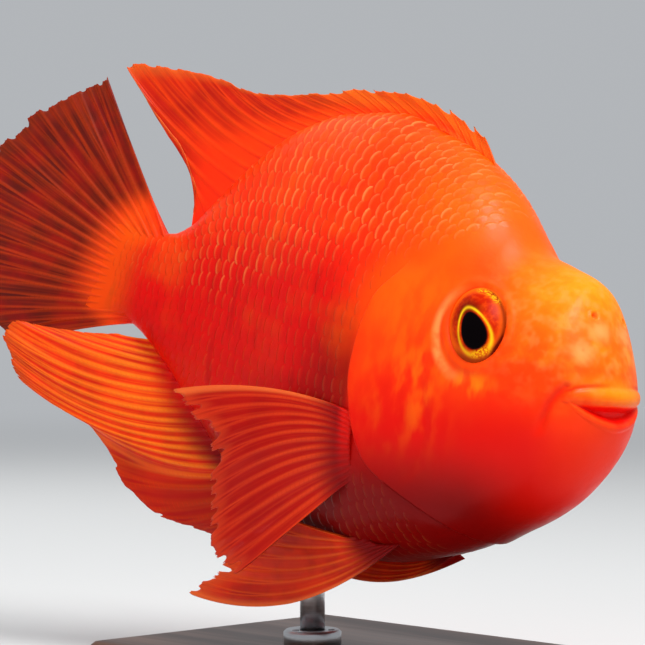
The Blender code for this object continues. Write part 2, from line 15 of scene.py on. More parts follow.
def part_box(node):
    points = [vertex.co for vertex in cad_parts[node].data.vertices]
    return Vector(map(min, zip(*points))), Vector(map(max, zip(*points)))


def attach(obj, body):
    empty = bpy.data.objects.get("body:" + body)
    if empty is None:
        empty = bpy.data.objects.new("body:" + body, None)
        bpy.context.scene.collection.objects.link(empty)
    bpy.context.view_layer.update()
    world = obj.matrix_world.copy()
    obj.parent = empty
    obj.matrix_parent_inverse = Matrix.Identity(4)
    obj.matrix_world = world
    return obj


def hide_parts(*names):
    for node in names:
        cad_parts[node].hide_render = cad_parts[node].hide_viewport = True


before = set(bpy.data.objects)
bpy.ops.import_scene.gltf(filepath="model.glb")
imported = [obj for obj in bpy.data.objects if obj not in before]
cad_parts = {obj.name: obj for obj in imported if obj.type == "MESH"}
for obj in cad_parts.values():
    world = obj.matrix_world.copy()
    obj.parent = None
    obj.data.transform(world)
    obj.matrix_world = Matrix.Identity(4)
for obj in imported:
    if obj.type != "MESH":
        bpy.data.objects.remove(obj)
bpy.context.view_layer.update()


# The floor is one wide sheet of pale matt card. It fades into the brightness of the room, so
# that no edge of it shows. Soft lamps hang round the stand, and the camera looks level at the
# fish's right side from ahead of it.
MM = 0.001
FISH_AT = (-25.0, 3.0, 86.0)        # the middle of the fish, in the stand's millimetres
CAMERA_TURN = math.radians(46.4)    # from square on to the right side, round towards the nose
CAMERA_AWAY = 591.3 * MM
CAMERA_LENS = 133.95
FLOOR_RADIUS = 20.0
FADE_FROM, FADE_TO = 0.5, 1.9       # metres from the stand
ROOM_COLOUR = (0.80, 0.83, 0.87)
ROOM_BRIGHTNESS = 0.56
FLOOR_COLOUR = (0.72, 0.72, 0.71)
LAMPS = {                           # turn from the camera, height in degrees, metres, size, watts
    "key_lamp": (30, 56, 0.75, 0.35, 5.6),
    "fill_lamp": (-50, 22, 1.2, 0.6, 2.3),
    "back_lamp": (-150, 42, 0.9, 0.5, 2.2)}


def put_node(tree, kind, values=None, **settings):
    """One shader node, its sockets set or linked by name, and its settings."""
    made = tree.nodes.new("ShaderNode" + kind)
    for name, value in settings.items():
        setattr(made, name, value)
    for name, value in (values or {}).items():
        if isinstance(value, bpy.types.NodeSocket):
            tree.links.new(value, made.inputs[name])
        else:
            made.inputs[name].default_value = value
    return made


def ramp(tree, value, low, high, start=0.0, end=1.0):
    """A smooth change from start to end while value goes from low to high."""
    return put_node(tree, "MapRange", {"Value": value, "From Min": low, "From Max": high,
                                       "To Min": start, "To Max": end},
                    interpolation_type="SMOOTHSTEP").outputs[0]


def new_finish(name):
    """An empty material and its node tree."""
    finish = bpy.data.materials.new(name)
    finish.use_nodes = True
    finish.node_tree.nodes.clear()
    return finish, finish.node_tree


def show(tree, shader):
    """Makes a shader its material's surface."""
    output = tree.nodes.new("ShaderNodeOutputMaterial")
    tree.links.new(shader.outputs[0], output.inputs["Surface"])


def lay_floor():
    bpy.ops.mesh.primitive_circle_add(vertices=128, radius=FLOOR_RADIUS, fill_type="TRIFAN")
    floor = bpy.context.object
    floor.name = "card_floor"
    finish, tree = new_finish("pale_card")
    place = put_node(tree, "TexCoord").outputs["Object"]
    away = put_node(tree, "VectorMath", {0: place}, operation="LENGTH").outputs["Value"]
    card = put_node(tree, "BsdfPrincipled", {"Base Color": (*FLOOR_COLOUR, 1), "Roughness": 0.9})
    glow = put_node(tree, "Emission", {"Color": (*ROOM_COLOUR, 1), "Strength": ROOM_BRIGHTNESS})
    mixed = put_node(tree, "MixShader", {0: ramp(tree, away, FADE_FROM, FADE_TO),
                                         1: card.outputs[0], 2: glow.outputs[0]})
    show(tree, mixed)
    floor.data.materials.append(finish)


def round_the_fish(turn, rise, away):
    """A point round the fish's middle, turned from square on to its right side."""
    back = Vector((math.sin(turn) * math.cos(rise), -math.cos(turn) * math.cos(rise), math.sin(rise)))
    return Vector(FISH_AT) * MM + back * away


def hang_lamps():
    for name, (turn, rise, away, size, watts) in LAMPS.items():
        lamp = bpy.data.lights.new(name, "AREA")
        lamp.shape = "DISK"
        lamp.size = size
        lamp.energy = watts
        held = bpy.data.objects.new(name, lamp)
        held.location = round_the_fish(CAMERA_TURN + math.radians(turn), math.radians(rise), away)
        facing = Vector(FISH_AT) * MM - held.location
        held.rotation_euler = facing.to_track_quat("-Z", "Y").to_euler()
        held.visible_glossy = name == "key_lamp"
        bpy.context.scene.collection.objects.link(held)


def set_camera():
    lens = bpy.data.cameras.new("camera")
    lens.lens = CAMERA_LENS
    lens.sensor_width = 36.0
    camera = bpy.data.objects.new("camera", lens)
    camera.location = round_the_fish(CAMERA_TURN, 0.0, CAMERA_AWAY)
    facing = Vector(FISH_AT) * MM - camera.location
    camera.rotation_euler = facing.to_track_quat("-Z", "Y").to_euler()
    bpy.context.scene.collection.objects.link(camera)
    bpy.context.scene.camera = camera


room = bpy.data.worlds.new("pale_room")
room.use_nodes = True
room_glow = room.node_tree.nodes["Background"]
room_glow.inputs["Color"].default_value = (*ROOM_COLOUR, 1)
room_glow.inputs["Strength"].default_value = ROOM_BRIGHTNESS
bpy.context.scene.world = room
bpy.context.scene.view_settings.view_transform = "Standard"
lay_floor()
hang_lamps()
set_camera()


# The skin is one unbroken cast over head, trunk and tail stalk, of flexible resin. It is a
# loft of even rings. The rings follow the gill opening, where the sheet folds under the gill
# covers' free edge, and the face is pressed in and out for the eyes, nostrils and mouth.
SKIN_UNDER = 0.12                   # below the solids' surface, for the scales' depth
BACK_LINE = [(0, 4.8), (1, 10), (3, 16), (6, 23), (11, 31), (20, 34.6), (27, 37),
             (33, 43), (41, 51.6), (50, 58), (63, 63.5), (80, 68.4), (97, 67.3),
             (112, 61.8), (124, 52.3), (133, 41), (139, 33), (144, 29.6), (152, 28.5),
             (158, 29.2), (163, 30)]
BELLY_LINE = [(0, 0.8), (2, -3.6), (6, -11), (14, -20), (28, -28), (45, -34.5),
              (65, -38.6), (82, -37.8), (97, -33), (112, -23), (126, -11),
              (138, -1.5), (147, 3.8), (152, 5.5), (158, 5), (163, 4)]
HALF_WIDTH = [(0, 3), (2, 7.7), (4.5, 11.2), (10, 14.8), (20, 17.5), (35, 20),
              (50, 23.3), (65, 24.7), (80, 23.6), (100, 18.5), (120, 12.2),
              (137, 7.5), (147, 4.8), (152, 3.0), (156, 1.7), (160, 0.7), (163, 0.2)]
BODY_END = 163.0                    # the flesh thins out over the root of the tail fin
WIDEST_AT = 0.45
BACK_ROUNDNESS = 1.9
BELLY_ROUNDNESS = 2.25
SPINE_BEND, BEND_FROM, BEND_TO = 22.5, 55.0, 150.0
TAIL_LIFT, LIFT_FROM, LIFT_TO = 7.7, 80.0, 150.0
FIN_CURL, CURL_FROM, CURL_TO = 14.0, 150.0, 200.0
SPINE_HEIGHT = 14.0
NOSE_DOWN = 4.3
RIGHT_SIDE_UP = 8.9
PIVOT = (-97.0, 0.0, 16.0)

GILL_LINE = [(-48, 27), (-30, 30), (-26, 36.5), (-22.5, 43), (-20, 47.5), (-16, 53),
             (-11, 56), (-5, 58.2), (4, 59.8), (12, 59.2), (21, 57), (27, 53),
             (36, 47.5), (46, 43), (75, 40)]
GILL_RING = 48.0                    # this ring is bent to lie on the gill opening
GILL_REACH = 34.0                   # how far ahead and behind the bending of rings reaches
GILL_PROUD, GILL_RAMP = 1.1, 16.0
THROAT_DIP, DIP_LENGTH = 0.7, 5.0
OPEN_LOW, OPEN_HIGH = (-34, -24), (22, 31)     # it opens and closes between these heights
GILL_FOLD = [(0.35, 0.92), (0.45, 0.6), (0.2, 0.3), (-0.8, 0.1), (-1.9, -0.1), (-2.1, -0.5),
             (-1.3, -0.75), (-0.4, -0.8), (0.4, -0.72)]     # back and out, round the free edge
COVER_FRONT = [(-21, 49), (-18, 43), (-13, 39.3), (-7, 38.5), (4, 40.8), (13, 43), (20, 45.5),
               (25, 49), (27, 52)]
COVER_GROOVE, GROOVE_WIDTH = 0.28, 1.5
GROOVE_LOW, GROOVE_HIGH = (-21, -15), (22, 27)

HEAD_SPACING, BODY_SPACING = 0.32, 0.55     # between rings
ROUND = 420                                 # points round each ring
SNOUT_RINGS = 9
SNOUT_SPREAD = (0.08, 0.93)                 # how wide the first and last of them are
SETTLING = 40                               # rounds that bring the rings to the gill line


def smooth_line(points):
    """A smooth curve through (place, value) points that doesn't overshoot them."""
    x, y = np.array(points, float).T
    step = np.diff(x)
    rise = np.diff(y) / step
    slope = np.concatenate([rise[:1], np.zeros(len(x) - 2), rise[-1:]])
    for i in range(1, len(x) - 1):
        if rise[i - 1] * rise[i] > 0:
            before = 2 * step[i] + step[i - 1]
            after = step[i] + 2 * step[i - 1]
            slope[i] = (before + after) / (before / rise[i - 1] + after / rise[i])

    def at(place):
        place = np.clip(place, x[0], x[-1])
        i = np.clip(np.searchsorted(x, place) - 1, 0, len(step) - 1)
        t = (place - x[i]) / step[i]
        start = y[i] * (1 + 2 * t) * (1 - t) ** 2 + slope[i] * step[i] * t * (1 - t) ** 2
        end = y[i + 1] * t * t * (3 - 2 * t) + slope[i + 1] * step[i] * t * t * (t - 1)
        return start + end

    return at


def smooth_step(value, low, high):
    t = np.clip((value - low) / (high - low), 0, 1)
    return t * t * (3 - 2 * t)


def fall(value, low, high):
    """A smooth step down: 1 up to low, and 0 from high on."""
    return smooth_step(-value, -high, -low)


back_z = smooth_line(BACK_LINE)
belly_z = smooth_line(BELLY_LINE)
half_width = smooth_line(HALF_WIDTH)
gill_s = smooth_line(GILL_LINE)
cover_s = smooth_line(COVER_FRONT)


def bent_spine():
    """Places and directions along the spine, every half millimetre."""
    s = np.arange(-20.0, 230.0, 0.5)
    turn = SPINE_BEND * np.clip((s - BEND_FROM) / (BEND_TO - BEND_FROM), 0, 1)
    turn = np.radians(turn + FIN_CURL * np.clip((s - CURL_FROM) / (CURL_TO - CURL_FROM), 0, 1))
    lift = np.radians(TAIL_LIFT * np.clip((s - LIFT_FROM) / (LIFT_TO - LIFT_FROM), 0, 1))
    ahead = np.stack([np.cos(turn) * np.cos(lift), np.sin(turn) * np.cos(lift), -np.sin(lift)], 1)
    left = np.stack([-np.sin(turn), np.cos(turn), 0 * turn], 1)
    steps = 0.25 * (ahead[1:] + ahead[:-1])
    place = -np.concatenate([np.zeros((1, 3)), np.cumsum(steps, 0)])
    place -= place[np.argmin(abs(s))]
    return s, place, left, np.cross(ahead, left)


SPINE = bent_spine()
POSE = np.array(Matrix.Translation(Vector(FISH_AT))
                @ Matrix.Rotation(math.radians(NOSE_DOWN), 4, "Y")
                @ Matrix.Rotation(math.radians(-RIGHT_SIDE_UP), 4, "X")
                @ Matrix.Translation(-Vector(PIVOT)))


def bent(points):
    """Points of the straight fish, in millimetres, to their places in metres."""
    s, y, z = np.moveaxis(np.asarray(points, float), -1, 0)
    along, place, left, up = SPINE
    spot = np.stack([np.interp(s, along, place[:, k]) + y * np.interp(s, along, left[:, k])
                     + (z - SPINE_HEIGHT) * np.interp(s, along, up[:, k]) for k in range(3)], -1)
    spot[..., 2] += SPINE_HEIGHT
    return (spot @ POSE[:3, :3].T + POSE[:3, 3]) * MM


def section(s):
    """Centre height, half heights above and below it, and half width at s."""
    top, bottom, wide = back_z(s), belly_z(s), half_width(s)
    middle = bottom + WIDEST_AT * (top - bottom)
    return middle, top - middle, middle - bottom, wide


def body_surface(s, turn):
    """The plain body at s, at an angle that goes from its left side up over its back."""
    middle, above, below, wide = section(s)
    c, n = np.cos(turn), np.sin(turn)
    power = np.where(n >= 0, BACK_ROUNDNESS, BELLY_ROUNDNESS)
    y = wide * np.sign(c) * np.abs(c) ** (2 / power)
    z = middle + np.where(n >= 0, above, -below) * np.abs(n) ** (2 / power)
    return np.stack([s + 0 * y, y, z], -1)


def body_normal(s, turn):
    """The direction straight out of the plain body."""
    behind = body_surface(s + 0.15, turn) - body_surface(s - 0.15, turn)
    behind[..., 0] = 0.3
    across = body_surface(s, turn + 0.02) - body_surface(s, turn - 0.02)
    out = np.cross(across, behind)
    return out / np.linalg.norm(out, axis=-1, keepdims=True)


def skin_y(s, z):
    """Half width of the plain body at s and height z."""
    middle, above, below, wide = section(s)
    upper = z >= middle
    share = np.minimum(np.abs(z - middle) / np.where(upper, above, below), 1.0)
    power = np.where(upper, BACK_ROUNDNESS, BELLY_ROUNDNESS)
    return wide * (1 - share ** power) ** (1 / power)


def snout_s(y, z):
    """How far behind the snout's tip the skin is, at y and z on the face."""
    near, far = 0.0, 30.0
    for _ in range(30):
        s = 0.5 * (near + far)
        inside = belly_z(s) < z < back_z(s) and skin_y(s, z) > abs(y)
        near, far = (near, s) if inside else (s, far)
    return far


def beside_opening(z):
    """How far the gill opening stands open at height z, from 0 to 1."""
    return smooth_step(z, *OPEN_LOW) * fall(z, *OPEN_HIGH)


def gill_height(s, z):
    """The gill cover rises to its free edge, and the body dips behind it."""
    behind = s - gill_s(z)
    rise = GILL_PROUD * np.clip(1 + behind / GILL_RAMP, 0, 1) ** 2
    dip = -THROAT_DIP * np.exp(-(behind / DIP_LENGTH) ** 2)
    return np.where(behind <= 0, rise, dip) * beside_opening(z)


def ring_places(start, end, spacing):
    """Places of rings that lie evenly over the body, even over its blunt front."""
    fine = np.linspace(start, end, 3000)
    steps = np.abs(np.diff([fine, back_z(fine), belly_z(fine), half_width(fine)]))
    run = np.concatenate([[0], np.cumsum(np.hypot(steps[0], steps[1:].max(0)))])
    return np.interp(np.linspace(0, run[-1], round(run[-1] / spacing)), run, fine)


def even_turns(s, count):
    """Angles that set count points evenly round the section at s, from the back's ridge."""
    fine = np.linspace(0.5 * np.pi, -1.5 * np.pi, 1201)
    steps = np.linalg.norm(np.diff(body_surface(s, fine), axis=0), axis=1)
    run = np.concatenate([[0], np.cumsum(steps)])
    return np.interp(np.linspace(0, run[-1], count, endpoint=False), run, fine)


def pulled_to_gill(ring, turns):
    """Where the rings' points lie once the rings near the gill opening are bent along it."""
    pull = smooth_step(ring, GILL_RING - GILL_REACH, GILL_RING)
    pull = np.where(ring > GILL_RING, fall(ring, GILL_RING, GILL_RING + 1.5 * GILL_REACH), pull)
    s = ring + 0 * turns
    for _ in range(SETTLING):
        z = body_surface(s, turns)[..., 2]
        s += 0.4 * (ring + pull * (gill_s(np.maximum(z, OPEN_LOW[0])) - GILL_RING) - s)
    return s


def rings_of_skin():
    """The plain skin: its points, the directions out of it and how far out each one goes."""
    head = ring_places(0.0, GILL_RING, HEAD_SPACING)
    body = ring_places(GILL_RING + 0.6, BODY_END, BODY_SPACING)
    folds = np.array(GILL_FOLD)
    count = SNOUT_RINGS + len(head) + len(folds) + len(body)
    first_fold = SNOUT_RINGS + len(head)
    ring = np.concatenate([np.zeros(SNOUT_RINGS), head, np.full(len(folds), GILL_RING), body])[:, None]
    spread = np.ones((count, 1))
    spread[:SNOUT_RINGS, 0] = np.linspace(*SNOUT_SPREAD, SNOUT_RINGS)
    turns = np.array([even_turns(s, ROUND) for s in ring[:, 0]])
    s = pulled_to_gill(ring, turns)
    back, out = np.zeros((count, 1)), np.zeros((count, 1))
    rows = slice(first_fold, first_fold + len(folds))
    back[rows, 0], out[rows, 0] = folds.T
    nudge = np.zeros((count, 1))
    nudge[rows, 0] = 0.02 * np.arange(1, len(folds) + 1)
    spot = body_surface(s, turns)
    open_share = beside_opening(spot[..., 2])
    height = gill_height(s, spot[..., 2])
    height[rows] = (out * open_share)[rows]
    s = s + back * open_share + nudge
    spot = body_surface(s, turns)
    middle = section(s)[0]
    spot[..., 1] *= spread
    spot[..., 2] = middle + (spot[..., 2] - middle) * spread
    normal = body_normal(s, turns)
    blunt = smooth_step(s, 0, 3.0)[..., None]
    blunt[:SNOUT_RINGS] = 0
    normal = normal * blunt + np.array([-1.0, 0.0, 0.0]) * (1 - blunt)
    normal /= np.linalg.norm(normal, axis=-1, keepdims=True)
    return spot, normal, height - SKIN_UNDER * smooth_step(s, 0, 4)


def seat_on_skin(s, z, side, lean=0.0):
    """A place on the skin with its directions back, up and out; lean tips the top back."""
    def at(s, z):
        return np.array([s, side * skin_y(s, z), z])
    back = at(s + 2, z) - at(s - 2, z)
    up = at(s, z + 2) - at(s, z - 2)
    back /= np.linalg.norm(back)
    out = np.cross(back, up)
    out *= side * np.sign(out[1]) / np.linalg.norm(out)
    up -= back * (up @ back)
    up /= np.linalg.norm(up)
    c, n = math.cos(math.radians(lean)), math.sin(math.radians(lean))
    return at(s, z), back * c - up * n, up * c + back * n, out


# The face on the same skin: the rims of the eyes' orbits over a socket, one nostril a side,
# thick lips round a mouth that can't shut, and the fold that runs down from its corners.
EYE_S, EYE_Z, EYE_TILT = 30.0, 18.0, 22.0
RIM_LONG, RIM_TALL = 8.1, 10.5
RIM_PROUD, RIM_WIDTH = 0.55, 1.0
SOCKET_DEPTH, SOCKET_EDGE = 3.4, (0.7, 0.86)   # the edge as shares of the rim's size
NOSTRIL_Y, NOSTRIL_Z = 5.0, 23.5
NOSTRIL_RADIUS, NOSTRIL_PROUD, NOSTRIL_DEPTH = 1.1, 0.22, 0.9
NOSTRIL_RIM, NOSTRIL_PIT = 0.42, (0.45, 0.95)
MOUTH_HALF, MOUTH_TILT = 11.5, 0.1          # the photo's fish holds its mouth a little askew
MOUTH_CORNER_Z, MOUTH_UPPER_Z, MOUTH_LOWER_Z = 4.9, 5.0, 0.5
MOUTH_DEPTH, MOUTH_ARCH = 2.4, 1.8
UPPER_LIP, LOWER_LIP = 2.1, 0.95            # thickness at the middle, the share of it left at
UPPER_ENDS, LOWER_ENDS = 0.65, 0.3          # the corners, and how far past them each lip fades
UPPER_FADE, LOWER_FADE = 3.2, 2.0
LIP_PROUD, LIP_SEAT = 0.65, 0.9
# Painted shade darkens a crease over the upper lip: how many lip thicknesses out it lies, and how wide it
# is.
CREASE_SHADE_AT, CREASE_SHADE_WIDTH = 2.05, 0.6         # over the upper lip
CORNER_FOLD = [(6.0, 7.0), (6.9, 5.6), (8.5, 2.7), (9.4, -0.4), (10.4, -4.5)]   # (s, z)
FOLD_DEPTH, FOLD_WIDTH = 0.8, 0.95
FOLD_LOW, FOLD_SIDE = (-5.5, 0), (6, 9)     # it fades in over these heights and half widths
MOUTH_BACK = (11, 14)                       # and the pressing of the mouth ends over these s


def press_eye(spot, side):
    """The orbit's rim and the socket, as a height over the skin."""
    place, back, up, out = seat_on_skin(EYE_S, EYE_Z, side, EYE_TILT)
    off = spot - place
    share = np.hypot(off @ back / RIM_LONG, off @ up / RIM_TALL)
    share = np.where(off @ out > -9, share, 9.0)
    rim = RIM_PROUD * np.exp(-((share - 1) * RIM_LONG / RIM_WIDTH) ** 2)
    return rim - SOCKET_DEPTH * fall(share, *SOCKET_EDGE)


def press_nostril(spot, side):
    place, back, up, _ = seat_on_skin(snout_s(NOSTRIL_Y, NOSTRIL_Z), NOSTRIL_Z, side)
    off = spot - place
    away = np.hypot(off @ back, off @ up)
    away = np.where(spot[..., 1] * side > 0, away, 99.0)
    rim = NOSTRIL_PROUD * np.exp(-((away - NOSTRIL_RADIUS) / NOSTRIL_RIM) ** 2)
    return rim - NOSTRIL_DEPTH * fall(away, *NOSTRIL_PIT)


def round_the_snout(s, y):
    """Distance along the skin from the middle of the mouth, at mouth height."""
    line_s = np.linspace(0, 16, 200)
    line_y = skin_y(line_s, np.full_like(line_s, 4.0))
    run = line_y[0] + np.concatenate([[0], np.cumsum(np.hypot(np.diff(line_s), np.diff(line_y)))])
    return np.interp(s + np.abs(y), np.concatenate([[0], line_s + line_y]), np.concatenate([[0], run]))


def press_mouth(spot):
    """The lips stand out round the mouth and its inside goes in: heights, inside, and the crease over the
    upper lip that painted shade darkens.
    """
    s, y, z = np.moveaxis(spot, -1, 0)
    z = z - MOUTH_TILT * y
    along = round_the_snout(s, y)
    corner = round_the_snout(snout_s(MOUTH_HALF, MOUTH_CORNER_Z), MOUTH_HALF)
    share = np.clip(along / corner, 0, 1)
    arch = 1 - share ** MOUTH_ARCH
    over = z - MOUTH_CORNER_Z - (MOUTH_UPPER_Z - MOUTH_CORNER_Z) * arch
    under = MOUTH_CORNER_Z + (MOUTH_LOWER_Z - MOUTH_CORNER_Z) * arch - z
    past = np.maximum(along - corner, 0)
    away = np.where(past > 0, np.hypot(past, z - MOUTH_CORNER_Z), np.maximum(over, under))
    plump = np.sqrt(1 - share ** 2)
    upper = over > under
    ends = np.where(upper, UPPER_ENDS, LOWER_ENDS)
    thick = np.where(upper, UPPER_LIP, LOWER_LIP) * (ends + (1 - ends) * plump)
    across = away / thick - LIP_SEAT
    bar = thick * np.sqrt(np.clip(1 - across ** 2, 0, 1)) - 0.5 * thick
    bar = 0.5 * (bar + np.sqrt(bar ** 2 + 0.02)) * (np.abs(across) < 2.5)
    bar *= LIP_PROUD * fall(past, 0, np.where(upper, UPPER_FADE, LOWER_FADE))
    inside = smooth_step(-away, -0.1, 0.9) * (past == 0)
    depth = MOUTH_DEPTH * smooth_step(-away, -0.2, 1.9) * np.sqrt(np.clip(1 - share ** 2, 0, 1))
    face = fall(s, *MOUTH_BACK)
    # Painted shade goes along this crease over the upper lip.
    crease_shade = np.exp(-((away - CREASE_SHADE_AT * thick) / CREASE_SHADE_WIDTH) ** 2) * upper
    crease_shade = crease_shade * smooth_step(share, 0.1, 0.7) * fall(past, 1.0, 4.0) * face
    return (bar - depth) * face, inside * face, crease_shade


def press_fold(spot):
    """A shallow fold down from each corner of the mouth."""
    line = np.array(CORNER_FOLD)
    point = spot[..., (0, 2)]
    nearest = np.full(point.shape[:-1], 99.0)
    for start, end in zip(line[:-1], line[1:]):
        way = end - start
        t = np.clip((point - start) @ way / (way @ way), 0, 1)
        nearest = np.minimum(nearest, np.linalg.norm(point - start - t[..., None] * way, axis=-1))
    fade = smooth_step(spot[..., 2], *FOLD_LOW) * smooth_step(np.abs(spot[..., 1]), *FOLD_SIDE)
    return -FOLD_DEPTH * np.exp(-(nearest / FOLD_WIDTH) ** 2) * fade


def pressed_skin():
    """The skin as a grid of straight points, and which lie inside the mouth and in the creases that painted
    shade darkens.
    """
    spot, normal, height = rings_of_skin()
    s, z = spot[..., 0], spot[..., 2]
    beside = smooth_step(z, *GROOVE_LOW) * fall(z, *GROOVE_HIGH)
    height = height - COVER_GROOVE * np.exp(-((s - cover_s(z)) / GROOVE_WIDTH) ** 2) * beside
    for side in (-1, 1):
        near = spot[..., 1] * side > 0
        height = height + np.where(near, press_eye(spot, side), 0) + press_nostril(spot, side)
    lips, inside, crease_shade = press_mouth(spot)
    fold = press_fold(spot)
    height = height + lips + fold
    return spot + normal * height[..., None], inside, np.maximum(crease_shade, -fold / FOLD_DEPTH)


def solid_piece(name, points, faces, finish, stands_for=(), places=None, map_spots=None):
    """A smooth mesh piece. places are its straight points, and map_spots its OFBake map."""
    mesh = bpy.data.meshes.new(name)
    mesh.from_pydata(points.reshape(-1, 3).tolist(), [], faces)
    if places is not None:
        kept = mesh.attributes.new("place", "FLOAT_VECTOR", "POINT")
        kept.data.foreach_set("vector", places.reshape(-1, 3).astype(np.float32).ravel())
    if map_spots is not None:
        spread = mesh.uv_layers.new(name="OFBake")
        spread.data.foreach_set("uv", np.asarray(map_spots, np.float32).ravel())
    mesh.shade_smooth()
    mesh.materials.append(finish)
    piece = bpy.data.objects.new(name, mesh)
    bpy.context.scene.collection.objects.link(piece)
    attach(piece, "root")
    if stands_for:
        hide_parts(*stands_for)
    return piece


def keep_values(piece, name, values):
    kept = piece.data.attributes.new(name, "FLOAT", "POINT")
    kept.data.foreach_set("value", np.asarray(values, np.float32).ravel())


def kept_value(tree, name):
    return put_node(tree, "Attribute", attribute_name=name).outputs["Fac"]


def grid_faces(rows, columns, closed=False):
    """Quads of a grid whose points run column by column along each row."""
    i, j = np.meshgrid(np.arange(rows - 1), np.arange(columns if closed else columns - 1), indexing="ij")
    k = (j + 1) % columns
    quads = np.stack([i * columns + j, i * columns + k, (i + 1) * columns + k, (i + 1) * columns + j], -1)
    return quads.reshape(-1, 4)


def pole_fans(rings, around):
    """Triangles that close a ringed grid onto the two points that come after it."""
    last = (rings - 1) * around
    front = [((j + 1) % around, j, rings * around) for j in range(around)]
    return front + [(last + j, last + (j + 1) % around, rings * around + 1) for j in range(around)]


def pigment(red, green, blue):
    """A colour as the eye names it, out of 255, in the shader's linear light."""
    share = [c / 255 for c in (red, green, blue)]
    return tuple(c / 12.92 if c < 0.04045 else ((c + 0.055) / 1.055) ** 2.4 for c in share) + (1.0,)


def tint(tree, share, under, over):
    """One colour laid over another by share."""
    mixed = tree.nodes.new("ShaderNodeMix")
    mixed.data_type = "RGBA"
    for socket, value in ((mixed.inputs[0], share), (mixed.inputs[6], under), (mixed.inputs[7], over)):
        if isinstance(value, bpy.types.NodeSocket):
            tree.links.new(value, socket)
        else:
            socket.default_value = value
    return mixed.outputs[2]


def sums(tree, operation, first, second):
    return put_node(tree, "Math", {0: first, 1: second}, operation=operation).outputs[0]


def mottle(tree, place, size, stretch=(1, 1, 1), detail=3.0):
    """Noise about size millimetres across, in the straight fish's own places."""
    scaled = put_node(tree, "VectorMath", {0: place, 1: [k / size for k in stretch]},
                      operation="MULTIPLY").outputs[0]
    return put_node(tree, "TexNoise", {"Vector": scaled, "Scale": 1.0, "Detail": detail},
                    noise_dimensions="3D").outputs[0]


def away_from(tree, place, middle, shares):
    """Distance from a middle (s, y, z), counting each way by its share."""
    off = put_node(tree, "VectorMath", {0: place, 1: middle}, operation="SUBTRACT").outputs[0]
    counted = put_node(tree, "VectorMath", {0: off, 1: shares}, operation="MULTIPLY").outputs[0]
    return put_node(tree, "VectorMath", {0: counted}, operation="LENGTH").outputs["Value"]


def patch(tree, place, middle, radii):
    """1 at a middle, falling smoothly to 0 at the radii."""
    return ramp(tree, away_from(tree, place, middle, [1 / r for r in radii]), 0.0, 1.0, 1.0, 0.0)


def bumps(tree, height, strength, depth):
    return put_node(tree, "Bump", {"Height": height, "Strength": strength, "Distance": depth}).outputs[0]


ORBIT_ARC_AT, ORBIT_ARC_SHARES = (30.6, 0.0, 17.2), (0.115, 0.0, 0.088)   # pale, behind the eye
ORANGE_RED = pigment(255, 44, 0)
DEEP_RED = pigment(228, 4, 0)
BLOOD_RED = pigment(132, 0, 0)
ORANGE = pigment(255, 108, 2)
YOLK = pigment(255, 152, 12)
# Pale pink, for the pale arc behind the eye and for painted highlights on the face.
BLUSH_AND_HIGHLIGHT = pigment(255, 158, 84)
# Painted highlights, pale dabs on each side of the snout: middle and radius.
SNOUT_HIGHLIGHTS = [((5.4, 4.3, 20.4), 4.4), ((5.4, 9.3, 15.0), 4.0), ((12.5, 12.0, 27.0), 3.2)]


